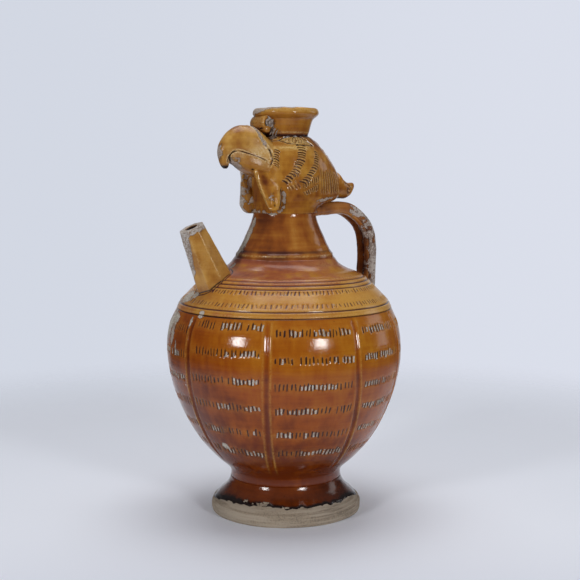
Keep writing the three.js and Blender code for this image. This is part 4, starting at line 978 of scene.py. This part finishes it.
comb_front = peak(np.degrees(comb_coil)[:, None], 165, 70)
comb_marks["depth_and_shading"] = 0.34 + 0.25 * hand_wobble(comb_grid, 5, 81)
comb_marks["thin_and_sheen"] = 0.5 * comb_front * (np.cos(comb_edge) > 0)
# The inner face of the rolled strip is painted dark: painted shade inside the scroll, together with glaze
# gathered there.
comb_marks["pooled_and_shade"] = np.clip(0.95 * (np.cos(comb_edge) < -0.3) * (1 - comb_end) + 0 * comb_way, 0, 1)
comb_top = peak(np.degrees(comb_coil)[:, None], 62, 40)
comb_worn = 0.62 * comb_end * comb_top + 0.5 * comb_top + 0.35 * (comb_grid[..., 1] > 2)
comb_marks["worn"] = np.clip(comb_worn, 0, 1)
comb_grid = comb_grid + outward(comb_grid) * (0.25 * hand_wobble(comb_grid, 4.5, 82))[..., None]
comb_core_turn = np.linspace(0, 2 * math.pi, 56, endpoint=False)


def comb_peg(x, z, radius, ends):
    """A round peg across the comb with eased ends, which stand out by ends to the near and far side."""
    out = [0.15, radius - 1.1, radius - 0.3, radius, radius, radius - 0.3, radius - 1.1, 0.15]
    aside = [-ends, -ends, -ends + 0.4, -ends + 1.2, ends - 1.2, ends - 0.4, ends, ends]
    out, aside = np.array(out)[:, None], np.array(aside)[:, None]
    return np.stack([x + out * np.cos(comb_core_turn), aside + 0 * out * comb_core_turn,
                     z + out * np.sin(comb_core_turn)], axis=-1)


comb_pegs = [comb_peg(*comb_middle, 6.8, 10.6), comb_peg(-23.0, 374.6, 5.2, 12.9),
             comb_peg(-26.2, 367.9, 3.1, 13.8)]
comb_peg_marks = [unmarked(peg) for peg in comb_pegs]
# Painted shade: the core of the roll, set back between its ends, is painted dark.
comb_peg_marks[0]["pooled_and_shade"] += 1
comb_peg_marks[1]["worn"] += 0.8
comb_peg_marks[1]["depth_and_shading"] += 0.7
comb_peg_marks[2]["depth_and_shading"] += 0.35
comb_peg_marks[2]["thin_and_sheen"] += 0.2
# Small folds of clay on the near end of the roll: where each starts and ends, and its radius
comb_folds = [((-24.4, -14, 371.4), (-22.6, -14.6, 377.2), 2.5),
              ((-21.8, -14.2, 361.6), (-19.4, -16.6, 369.4), 0.95),
              ((-19.6, -16.2, 361.4), (-17.9, -17.8, 367.6), 0.8),
              ((-23.8, -13.2, 362.4), (-21.6, -14.8, 366.6), 0.8)]
fold_aside, fold_down = np.array([0.79, 0.61, 0]), np.array([0.56, -0.73, 0.38])
round_fold = (np.cos(comb_core_turn)[None, :, None] * fold_aside
              + np.sin(comb_core_turn)[None, :, None] * fold_down)
for start, end, radius in comb_folds:
    fold = drawn_line([start, (np.array(start) + end) / 2 + (-0.5, -0.5, 0.4), end], 0.7)[:, None, :]
    taper = np.sqrt(np.clip(np.sin(np.linspace(0.05, 3.1, len(fold))), 0.02, 1))[:, None, None]
    comb_pegs.append(fold + radius * taper * round_fold)
    comb_peg_marks.append(unmarked(comb_pegs[-1]))
    comb_peg_marks[-1]["worn"] += 0.62
    comb_peg_marks[-1]["depth_and_shading"] += 0.6
comb = clay_body("comb_scroll_roll", [comb_grid] + comb_pegs, [comb_marks] + comb_peg_marks)
comb_finish = amber_glaze("comb_worn_glaze", head_tones, (0.6, 0.36, 0.12), (0.04, 0.02, 0.016),
                          [(0.42, 0.37, 0.33), (0.2, 0.15, 0.12)], shine=0.22, wear_cut=0.42)
set_in_place(comb, comb_finish, "worn_glaze", "comb_scroll")

# Wattles
# Two lobes of clay pressed onto the throat under the beak. A thumb hollowed the outer face of each
# and left a crisp rim along the front. The near one is glazed, the far one is worn to the clay.
wattle_facing = math.radians(55)
wattle_turn = np.linspace(0, 2 * math.pi, 150, endpoint=False)
# Rings of height, reach to the front, reach to the side, half width and thickness
near_wattle_shape = [(333, 33.6, 16.8, 7.2, 1.6), (329.9, 32.7, 18, 9.4, 3.0), (325.1, 31, 19, 10.6, 4),
                     (318.9, 29.2, 20.5, 11, 4.8), (309, 27.2, 22.5, 9.8, 6.2),
                     (303.1, 26.3, 23.6, 8.4, 7.6), (297, 25.5, 24.2, 6.7, 8), (293, 25, 24.1, 4.4, 6),
                     (291.8, 24.9, 24, 2.2, 3.2)]
far_wattle_shape = [(331, 33, 17.6, 8.6, 2.2), (329.9, 32.7, 18, 9.6, 3.2), (325.1, 31, 19, 10.6, 4),
                    (318.9, 29.2, 20.5, 11, 4.8), (309, 27.2, 22.5, 9.8, 6.6), (303.1, 26.3, 23.4, 8.4, 8.4),
                    (299, 25.8, 23.8, 7.8, 9.2), (294, 25.2, 23.9, 7.2, 9), (290.8, 25, 23.6, 6, 7),
                    (288.6, 24.9, 23.4, 3, 3.6)]


def wattle_grid(shape, side):
    """The rings of one wattle: side is -1 for the near one and 1 for the far one."""
    height, reach, spread, half, thick = (values[:, None] for values in drawn_line(shape, 0.6).T)
    wide, out = np.cos(wattle_turn), np.sin(wattle_turn)
    middle = peak(wide, -0.08, 0.42)
    fade = falling(height, 326, 9) * rising(height, 291.5, 5)
    hollowed = out * (1 - 0.62 * middle * fade) + 0.3 * fade * peak(wide, -0.74, 0.16) * out
    face = np.where(out > 0, hollowed, out)
    across, away = half * wide, thick * face
    away = away - 8.5 * rising(wide, -0.55, 0.9) * rising(height, 309, 13) ** 1.3
    x = -reach + across * math.sin(wattle_facing) - away * math.cos(wattle_facing)
    y = side * (spread + across * math.cos(wattle_facing) + away * math.sin(wattle_facing))
    return np.stack([x, y, height + 0 * x], axis=-1), wide + 0 * height, out + 0 * height


wattles = [(-1, near_wattle_shape, "near_wattle", "wattle_right", "head_glaze", 0.0),
           (1, far_wattle_shape, "far_wattle", "wattle_left", "worn_glaze", 0.5)]
for side, shape, name, node, slot, wear in wattles:
    lobe, wide, out = wattle_grid(shape, side)
    lobe_marks = unmarked(lobe)
    lobe_height = lobe[..., 2]
    rim = peak(wide, -0.76, 0.15) * (out > 0)
    back_edge = peak(wide, 0.95, 0.08)
    back_rim = peak(wide, 0.72, 0.1) * (out > 0) * rising(lobe_height, 301, 3)
    hollow = peak(wide, -0.25, 0.3) * (out > 0) * rising(lobe_height, 303, 6)
    grey = np.exp(-((wide + 0.05) / 0.6) ** 2 - ((lobe_height - 304) / 5.6) ** 2) * (out > 0)
    dark_spot = np.exp(-((wide - 0.25) / 0.14) ** 2 - ((lobe_height - 297.2) / 1.5) ** 2) * (out > 0)
    lobe_marks["depth_and_shading"] = (0.24 + 0.25 * hand_wobble(lobe, 8, 91) + 0.12 * hand_wobble(lobe, 3, 95)
                          + 0.42 * hollow)
    lobe_marks["thin_and_sheen"] = np.clip(0.8 * rim + 0.5 * back_rim, 0, 1)
    lobe_marks["pooled_and_shade"] = np.clip(0.8 * back_edge * (lobe_height < 312) + 0.8 * dark_spot
                                   + 0.3 * (out < -0.3), 0, 1)
    mottled = np.clip(0.5 + 1.3 * hand_wobble(lobe, 6, 92) + 0.6 * hand_wobble(lobe, 2.5, 96), 0, 1)
    lobe_marks["worn"] = np.clip(0.6 * grey + wear * (1.7 * mottled + 0.7 * (lobe_height > 316)), 0, 1)
    lobe_relief = 0.35 * hand_wobble(lobe, 8, 93) + 0.14 * hand_wobble(lobe, 3, 94) + 0.3 * rim
    lobe = lobe + outward(lobe) * lobe_relief[..., None] * side
    wattle = clay_body(name, [lobe], [lobe_marks])
    wattle_finish = amber_glaze(name + "_glaze", head_tones, (0.68, 0.42, 0.13), (0.05, 0.02, 0.014),
                                [(0.56, 0.5, 0.45), (0.34, 0.26, 0.2)], shine=0.12 + 0.3 * wear)
    set_in_place(wattle, wattle_finish, slot, node)

# Tuft
# The feathers of the nape end in a thick tuft with its tip turned up, cut with a swirl on each
# side. It is luted on above the handle, and its underside is rubbed.
tuft_turn = np.linspace(0, 2 * math.pi, 140, endpoint=False)
# Rings of place, height, half width and half height
tuft_shape = [(50, 310.9, 13, 8.6), (58.6, 315.1, 11.7, 12.9), (63.1, 312.7, 10.7, 10.4),
              (68, 310.7, 9.1, 8.2), (72.2, 311.4, 7.2, 6.6), (75.6, 313, 5, 4.8), (77.7, 314.4, 3, 2.9),
              (78.4, 315, 0.8, 0.8)]
tuft_x, tuft_z, tuft_half, tuft_tall = (values[:, None] for values in drawn_line(tuft_shape, 0.45).T)
tuft_grid = np.stack([tuft_x + 0 * tuft_turn, tuft_half * np.cos(tuft_turn),
                      tuft_z + tuft_tall * np.sin(tuft_turn)], axis=-1)
tuft_marks = unmarked(tuft_grid)
tuft_cut, tuft_burr = np.zeros(tuft_grid.shape[:2]), np.zeros(tuft_grid.shape[:2])
tuft_swirl = drawn_line([(62, 318), (66, 316.8), (70, 314.6), (71.8, 311.4), (70.2, 308.2), (66.8, 307.8),
                         (65.2, 310.2), (66.6, 312.6), (68.8, 311.4)], 1.0)
swirl_rows = np.interp(tuft_swirl[:, 0], tuft_x[:, 0], np.arange(len(tuft_x))).round().astype(int)
for side in (-1, 1):
    line = []
    for ring, z in zip(tuft_grid[swirl_rows], tuft_swirl[:, 1]):
        place = ring[np.argmin(np.abs(ring[:, 2] - z) + 30 * (side * ring[:, 1] < 0))]
        line.append(place)
    knife_cut(tuft_grid, tuft_cut, tuft_burr, without_repeats(line, 0.05), 0.85)
tuft_marks["depth_and_shading"] = 0.54 + 0.25 * hand_wobble(tuft_grid, 6, 101)
tuft_marks["thin_and_sheen"] = np.clip(0.35 * tuft_burr * (1 - tuft_cut), 0, 1)
tuft_marks["pooled_and_shade"] = 0.7 * tuft_cut
tuft_marks["worn"] = np.clip(0.85 * peak(tuft_grid[..., 2], 301.6, 2.2), 0, 1)
tuft_relief = 0.3 * hand_wobble(tuft_grid, 6, 102) - 0.85 * tuft_cut + 0.3 * tuft_burr * (1 - tuft_cut)
tuft_grid = tuft_grid + outward(tuft_grid) * tuft_relief[..., None]
tuft = clay_body("upturned_nape_tuft", [tuft_grid], [tuft_marks])
set_in_place(tuft, head_finish, "head_glaze", "nape_tuft")

# Mouth cup
# A small cup thrown with a thick rolled rim and set into the crown. The glaze runs off the rim,
# which is chipped down to the clay over the comb. A dark line is painted where the cup joins, partly
# gathered glaze and partly painted shadow under the cup.
cup_middle_radius = 30
cup_outer = [(21.9, 362.2), (22.1, 363.6), (23, 366.4), (24.3, 371.6), (25.6, 376), (26.4, 377.8),
             (27.6, 379), (29.6, 380.6), (31.1, 382.2), (31.5, 383.6), (31.2, 385.6), (30, 387.5),
             (28.2, 388.4), (26.4, 388.2)]
cup_inner = [(26.4, 388.2), (25.2, 386.6), (24.4, 382), (22.4, 376), (20.4, 369), (18.2, 364.2), (13.6, 360),
             (13.5, 357.5)]
cup_line = drawn_line(cup_outer, 0.55)
cup_outline = np.vstack([cup_line, drawn_line(cup_inner, 2.2)[1:], [(15.6, 357.5), (15.6, 361.8)]])
cup_turns = np.linspace(-math.pi, math.pi, 330, endpoint=False)
cup_grid = thrown(cup_outline, cup_turns)
cup_marks = unmarked(cup_grid)
cup_rows = slice(0, len(cup_line))
cup_skin = cup_grid[cup_rows]
cup_levels = cup_line[:, 1][:, None]
cup_marks["depth_and_shading"] += 0.6
# The foot of the cup is painted deep and dark: partly glaze gathered in the join, and partly painted shadow
# under the cup's wider wall.
cup_rich = np.interp(cup_levels, [362, 366, 374, 379, 384, 389], [0.9, 0.5, 0.42, 0.52, 0.26, 0.2])
cup_marks["depth_and_shading"][cup_rows] = cup_rich + 0.16 * hand_wobble(cup_skin * (1, 1, 0.3), 7, 111)
cup_marks["pooled_and_shade"][cup_rows] = 0.9 * peak(cup_levels, 362.3, 1.3) + 0.35 * peak(cup_levels, 378.2, 0.8)
cup_marks["thin_and_sheen"][cup_rows] = 0.55 * peak(cup_levels, 365.2, 0.7) + 0.42 * peak(cup_levels, 386, 2)
cup_losses = [(178, 386, 9, 3.6, 1.1), (-166, 387.5, 6, 2.6, 0.9), (-140, 388, 7, 1.6, 0.7),
              (-112, 388.3, 5, 1.2, 0.7), (160, 383, 5, 3, 0.9), (-150, 373, 5, 5, 0.6),
              (-152, 366, 8, 3, 0.7), (60, 388, 8, 1.6, 0.7), (110, 386, 5, 3, 0.8)]
cup_lost = 0.12 * peak(cup_levels, 388, 1.6)
cup_lost = cup_lost + lost_glaze(cup_turns[None, :], cup_levels, lambda level: cup_middle_radius, cup_losses)
cup_marks["worn"][cup_rows] = cup_lost
cup_relief = 0.22 * hand_wobble(cup_skin, 10, 112) + 0.08 * hand_wobble(cup_skin * (0.1, 0.1, 1), 2, 113)
cup_relief = cup_relief - 0.5 * np.clip(cup_lost - 0.35, 0, 1) * (1 + 0.8 * hand_wobble(cup_skin, 2.2, 114))
cup_grid[cup_rows] += outward(cup_grid)[cup_rows] * cup_relief[..., None]
cup = clay_body("rolled_rim_cup", [cup_grid], [cup_marks], hollow=True)
set_in_place(cup, head_finish, "head_glaze", "mouth_cup")

# Handle
# Two rolls of clay laid side by side, bent from under the nape down to the shoulder and pressed
# flat at both ends. Hands have worn it: most of its glaze has gone dark or is lost.
handle_path = [(27, 0, 289.7), (38.2, 0, 291.5), (52.4, 0, 293.3), (60.9, 0, 293.2), (68, 0, 291.8),
               (78.3, 0, 286.4), (87.05, 0, 278.7), (93, 0, 267.5), (95.2, 0, 253), (95.4, 0, 239),
               (94.8, 0, 222), (94, 0, 206.5)]
handle_line = drawn_line(handle_path, 1.0)
handle_run = np.gradient(handle_line, axis=0)
handle_run /= np.linalg.norm(handle_run, axis=1, keepdims=True)
handle_up = np.stack([-handle_run[:, 2], 0 * handle_run[:, 0], handle_run[:, 0]], axis=1)
handle_way = np.linspace(0, 1, len(handle_line))[:, None]
roll_turn = np.linspace(0, 2 * math.pi, 56, endpoint=False)
roll_tall, roll_wide, roll_aside = 6.1, 6.0, 6.25
roll_tones = [(0.0, (0.56, 0.26, 0.07)), (0.4, (0.4, 0.15, 0.035)), (0.7, (0.19, 0.07, 0.03)),
              (1.0, (0.07, 0.034, 0.028))]
for side, name, node in ((-1, "near_handle_roll", "handle_roll_right"),
                         (1, "far_handle_roll", "handle_roll_left")):
    up = roll_tall * np.sin(roll_turn)[None, :] * (1 - 0.2 * peak(handle_way, 0, 0.1))
    aside = side * roll_aside + roll_wide * np.cos(roll_turn)[None, :] + 0 * handle_way
    roll = (handle_line[:, None, :] + up[..., None] * handle_up[:, None, :]
            + aside[..., None] * np.array([0, 1, 0]))
    roll_marks = unmarked(roll)
    outer = np.sin(roll_turn)[None, :] + 0 * handle_way
    old = 0.30 + 0.35 * np.clip((handle_way - 0.28) * 4, 0, 1) - 0.6 * peak(handle_way, 0.17, 0.1)
    inner = falling(outer, -0.5, 0.15)
    strand = (peak(outer, -0.6, 0.1) * (side * np.cos(roll_turn) > 0)[None, :] * (side < 0)
              * np.clip((handle_way - 0.3) * 6, 0, 1))
    roll_marks["depth_and_shading"] = (0.52 + 0.17 * np.clip((handle_way - 0.3) * 5, 0, 1)
                          + 0.3 * hand_wobble(roll, 9, 121) - 0.22 * inner)
    roll_marks["worn"] = np.clip(old + 0.42 * hand_wobble(roll, 7, 122) + 0.14 * (outer > 0.4) - 0.34 * inner
                                 - 0.2 * (side > 0), 0, 1)
    joined = 0.7 - 0.35 * np.clip((handle_way - 0.3) * 6, 0, 1)
    roll_marks["pooled_and_shade"] = np.clip(joined * peak(aside * side, 0.5, 1.0) + 0.8 * strand, 0, 1)
    roll_marks["thin_and_sheen"] = 0.25 * peak(aside * side, 6.6, 2.8) * (outer > 0)
    roll_relief = 0.3 * hand_wobble(roll, 9, 123) + 0.14 * hand_wobble(roll, 3, 124) - 0.6 * strand
    roll = roll + outward(roll) * roll_relief[..., None]
    handle_roll = clay_body(name, [roll], [roll_marks])
    roll_finish = amber_glaze(name + "_worn_glaze", roll_tones, (0.5, 0.26, 0.09), (0.03, 0.014, 0.012),
                              [(0.52, 0.46, 0.41), (0.25, 0.19, 0.16)], shine=0.24, wear_cut=0.46)
    set_in_place(handle_roll, roll_finish, "worn_glaze", node)

# Spout
# A short tapering tube pared with a knife into eight facets, and pierced before it was luted over
# a hole in the shoulder. Its tip and its left facets are worn to grey-white clay.
spout_wide, spout_taper, bore_wide, bore_taper, spout_facets = 18.3, 5.9, 10, 5, 8
spout_length = np.linalg.norm(spout_run)
spout_up = spout_run / spout_length
spout_back = np.array([spout_up[2], 0, -spout_up[0]])
spout_turn = np.linspace(0, 2 * math.pi, 168, endpoint=False)
facet = 2 * math.pi / spout_facets
spout_flat = np.cos(facet / 2) / np.cos((spout_turn % facet) - facet / 2)
spout_flat = 1 - 1.02 * (1 - spout_flat) * np.clip((1 - spout_flat) / 0.02, 0.55, 1)
outer_way = [(spout_length * share, spout_wide - spout_taper * share)
             for share in np.linspace(-0.3, 0.985, 74)]
tip_way = [(spout_length - 0.25, 12.25), (spout_length - 0.05, 11.9), (spout_length, 11.3),
           (spout_length, 9), (spout_length, 6.6), (spout_length - 0.3, 5.6), (spout_length - 1.4, 5.0)]
bore_way = [(spout_length * share, bore_wide - bore_taper * share) for share in (0.9, 0.6, 0.3, 0, -0.3)]
spout_outline = np.array(outer_way + tip_way + bore_way)
spout_skin_rows = len(outer_way) + 4
spout_shape = np.ones((len(spout_outline), 1)) * spout_flat
spout_shape[spout_skin_rows:] = 1 + (spout_shape[spout_skin_rows:] - 1) * 0.2
spout_radius = spout_outline[:, 1:] * spout_shape
spout_out = np.cos(spout_turn)[:, None] * spout_back + np.sin(spout_turn)[:, None] * np.array([0, 1.0, 0])
spout_grid = spout_root + spout_outline[:, :1, None] * spout_up + spout_radius[..., None] * spout_out
spout_marks = unmarked(spout_grid)
from_edge = np.minimum(spout_turn % facet, facet - spout_turn % facet)
facet_edge = peak(from_edge, 0, 0.075)[None, :]
spout_middle = spout_root[0] + spout_run[0] * (spout_grid[..., 2] - spout_root[2]) / spout_run[2]
spout_side = np.degrees(np.arctan2(spout_grid[..., 1], spout_grid[..., 0] - spout_middle))
spout_from = spout_outline[:, :1] + 0 * spout_side
on_skin = np.arange(len(spout_outline))[:, None] < spout_skin_rows
left_way = spout_side % 360
bare_edge = np.interp(spout_from, [3, 14, 28, 50], [176, 200, 208, 226])
bare_side = falling(left_way, bare_edge, 10) * rising(left_way, 110, 30)
tip_worn = (peak(np.clip(spout_length - 2.4 - spout_from, 0, 99), 0, 2.6)
            * (0.9 + 0.5 * hand_wobble(spout_grid, 3.5, 135)))
spout_marks["depth_and_shading"] = 0.26 + 0.26 * hand_wobble(spout_grid, 10, 131) + 0.12 * hand_wobble(spout_grid, 4, 136)
spout_marks["thin_and_sheen"] = (np.clip(0.5 * facet_edge * (spout_from > 2) + 0.12
                               + 0.2 * hand_wobble(spout_grid, 7, 137), 0, 1) * on_skin)
from_shoulder = (np.hypot(spout_grid[..., 0], spout_grid[..., 1])
                 - np.interp(spout_grid[..., 2], slope_levels, shoulder_line[:, 0]))
luted = peak(from_shoulder, 0.6, 1.5)
# Painted shade: inside the bore the glaze is painted dark up to the tip.
spout_marks["pooled_and_shade"] = np.where(on_skin, 0.75 * luted, falling(spout_from, spout_length - 0.1, 0.4))
spout_marks["worn"] = np.clip((0.9 * bare_side + 0.95 * tip_worn)
                              * (1 + 0.2 * hand_wobble(spout_grid, 5, 132)), 0, 1)
spout_marks["worn"] = np.where(on_skin | (spout_from > spout_length - 0.2), spout_marks["worn"], 0.0)
spout_relief = (0.28 * hand_wobble(spout_grid, 9, 133) + 0.12 * hand_wobble(spout_grid, 3, 134)) * on_skin
spout_grid = spout_grid + outward(spout_grid) * spout_relief[..., None]
spout = clay_body("faceted_spout", [spout_grid], [spout_marks], hollow=True)
spout_tones = [(0.0, (0.52, 0.27, 0.06)), (0.34, (0.38, 0.165, 0.03)), (0.66, (0.26, 0.09, 0.018)),
               (1.0, (0.13, 0.035, 0.01))]
spout_finish = amber_glaze("spout_amber_glaze", spout_tones, (0.58, 0.36, 0.12), (0.03, 0.015, 0.012),
                           [(0.5, 0.455, 0.42), (0.26, 0.2, 0.16)], shine=0.2)
set_in_place(spout, spout_finish, "spout_glaze", "spout")

# Table top
# A pale, smooth table that the ewer stands on, lit by a large soft light overhead, two small square
# ones to the left and right of the front, and a weak upright one at the side. Shade is painted on its
# front part, and it fades out to nothing at its edge.
table_edge, table_sides = 0.95, 96
# The way from the ewer towards the front, and to the right of it, over the table
front_way, right_way = (-0.5, -0.866, 0), (0.866, -0.5, 0)
table_turns = np.linspace(0, 2 * math.pi, table_sides, endpoint=False)
table_places = [(table_edge * math.cos(turn), table_edge * math.sin(turn), 0) for turn in table_turns]
table_mesh = bpy.data.meshes.new("table_top")
table_mesh.from_pydata(table_places, [], [list(range(table_sides))])
table_top = bpy.data.objects.new("table_top", table_mesh)
bpy.context.collection.objects.link(table_top)
table_finish = bpy.data.materials.new("pale_table_top")
table_finish.use_nodes = True
table_tree = table_finish.node_tree
table_tree.nodes.clear()
table_where = glaze_node(table_tree, "ShaderNodeTexCoord", {}).outputs["Object"]
table_far = glaze_node(table_tree, "ShaderNodeVectorMath", {0: table_where},
                       operation="LENGTH").outputs["Value"]
table_cloud = grain(table_tree, table_where, 3.0)
table_grain = grain(table_tree, table_where, 900.0)
table_colour = laid_over(table_tree, table_cloud, (0.87, 0.9, 0.985, 1), (0.89, 0.92, 1.0, 1))
table_near = glaze_node(table_tree, "ShaderNodeVectorMath", {0: table_where, 1: front_way},
                        operation="DOT_PRODUCT").outputs["Value"]
# Painted shade: the table is painted darker towards the front.
table_front_shade = faded(table_tree, table_near, 0.05, 0.46)
table_colour = laid_over(table_tree, table_front_shade, table_colour, (0.66, 0.685, 0.78, 1))
table_colour = laid_over(table_tree, worked_out(table_tree, "MULTIPLY", table_grain, 0.1), table_colour,
                         (0.7, 0.72, 0.79, 1))
table_paint = glaze_node(table_tree, "ShaderNodeBsdfPrincipled",
                         {"Base Color": table_colour, "Roughness": 0.9, "Specular IOR Level": 0.1})
table_clear = glaze_node(table_tree, "ShaderNodeBsdfTransparent", {})
table_fade = faded(table_tree, table_far, 0.42, 0.92)
table_mix = glaze_node(table_tree, "ShaderNodeMixShader",
                       {0: table_fade, 1: table_paint.outputs[0], 2: table_clear.outputs[0]})
table_end = table_tree.nodes.new("ShaderNodeOutputMaterial")
table_tree.links.new(table_mix.outputs[0], table_end.inputs[0])
table_mesh.materials.append(table_finish)

studio = bpy.data.worlds.new("studio")
bpy.context.scene.world = studio
studio.use_nodes = True
air = studio.node_tree
air.nodes.clear()
air_way = glaze_node(air, "ShaderNodeTexCoord", {}).outputs["Generated"]
air_parts = glaze_node(air, "ShaderNodeSeparateXYZ", {0: air_way}).outputs
toward_front = glaze_node(air, "ShaderNodeVectorMath", {0: air_way, 1: front_way},
                          operation="DOT_PRODUCT").outputs["Value"]
behind = {"Value": toward_front, "From Min": -0.97, "From Max": -0.8, "To Min": 0.6, "To Max": 0.05}
air_side = glaze_node(air, "ShaderNodeMapRange", behind).outputs[0]
overhead = {"Value": air_parts["Z"], "From Min": 0.1, "From Max": 0.75, "To Min": 0.0, "To Max": 0.12}
air_top = glaze_node(air, "ShaderNodeMapRange", overhead).outputs[0]
air_light = worked_out(air, "ADD", air_side, air_top)
air_glow = glaze_node(air, "ShaderNodeBackground", {"Color": (0.95, 0.98, 1.05, 1), "Strength": air_light})
air_right = glaze_node(air, "ShaderNodeVectorMath", {0: air_way, 1: right_way},
                       operation="DOT_PRODUCT").outputs["Value"]
air_shade = laid_over(air, faded(air, air_right, -0.25, 0.25), (0.65, 0.685, 0.77, 1),
                      (0.705, 0.735, 0.825, 1))
air_seen = glaze_node(air, "ShaderNodeBackground", {"Color": air_shade, "Strength": 1.0})
straight = glaze_node(air, "ShaderNodeLightPath", {}).outputs["Is Camera Ray"]
air_mix = glaze_node(air, "ShaderNodeMixShader",
                     {0: straight, 1: air_glow.outputs[0], 2: air_seen.outputs[0]})
air_end = air.nodes.new("ShaderNodeOutputWorld")
air.links.new(air_mix.outputs[0], air_end.inputs[0])

middle_height = 0.2


def soft_light(name, turn_degrees, lift_degrees, away, wide, tall, watts):
    """A soft rectangular light that faces the middle of the ewer from a place round it."""
    turn, lift = math.radians(turn_degrees), math.radians(lift_degrees)
    lamp = bpy.data.lights.new(name, "AREA")
    lamp.shape = "RECTANGLE"
    lamp.size, lamp.size_y, lamp.energy = wide, tall, watts
    stand = bpy.data.objects.new(name, lamp)
    bpy.context.collection.objects.link(stand)
    out, up = away * math.cos(lift), away * math.sin(lift)
    stand.location = (out * math.cos(turn), out * math.sin(turn), middle_height + up)
    stand.rotation_euler = (math.pi / 2 - lift, 0, turn + math.pi / 2)


soft_light("left_light", -162.5, 11, 1.7, 0.3, 0.3, 10)
soft_light("right_light", -85.4, 11, 1.7, 0.3, 0.3, 10)
soft_light("top_light", 60, 80, 1.35, 1.15, 1.15, 12)
soft_light("side_light", -12, 12, 1.6, 0.5, 0.9, 2)

camera = bpy.data.cameras.new("camera")
camera.lens = 69.5
camera.sensor_width = 36
camera_stand = bpy.data.objects.new("camera", camera)
bpy.context.collection.objects.link(camera_stand)
camera_away, camera_aside, camera_height = 1.08, 0.0053, 0.326
camera_tilt, camera_turn = 5.9, -30
camera_x, camera_y, _ = camera_away * np.array(front_way) + camera_aside * np.array(right_way)
camera_stand.location = (camera_x, camera_y, camera_height)
camera_stand.rotation_euler = (math.radians(90 - camera_tilt), 0, math.radians(camera_turn))
bpy.context.scene.camera = camera_stand
bpy.context.scene.view_settings.view_transform = "Standard"
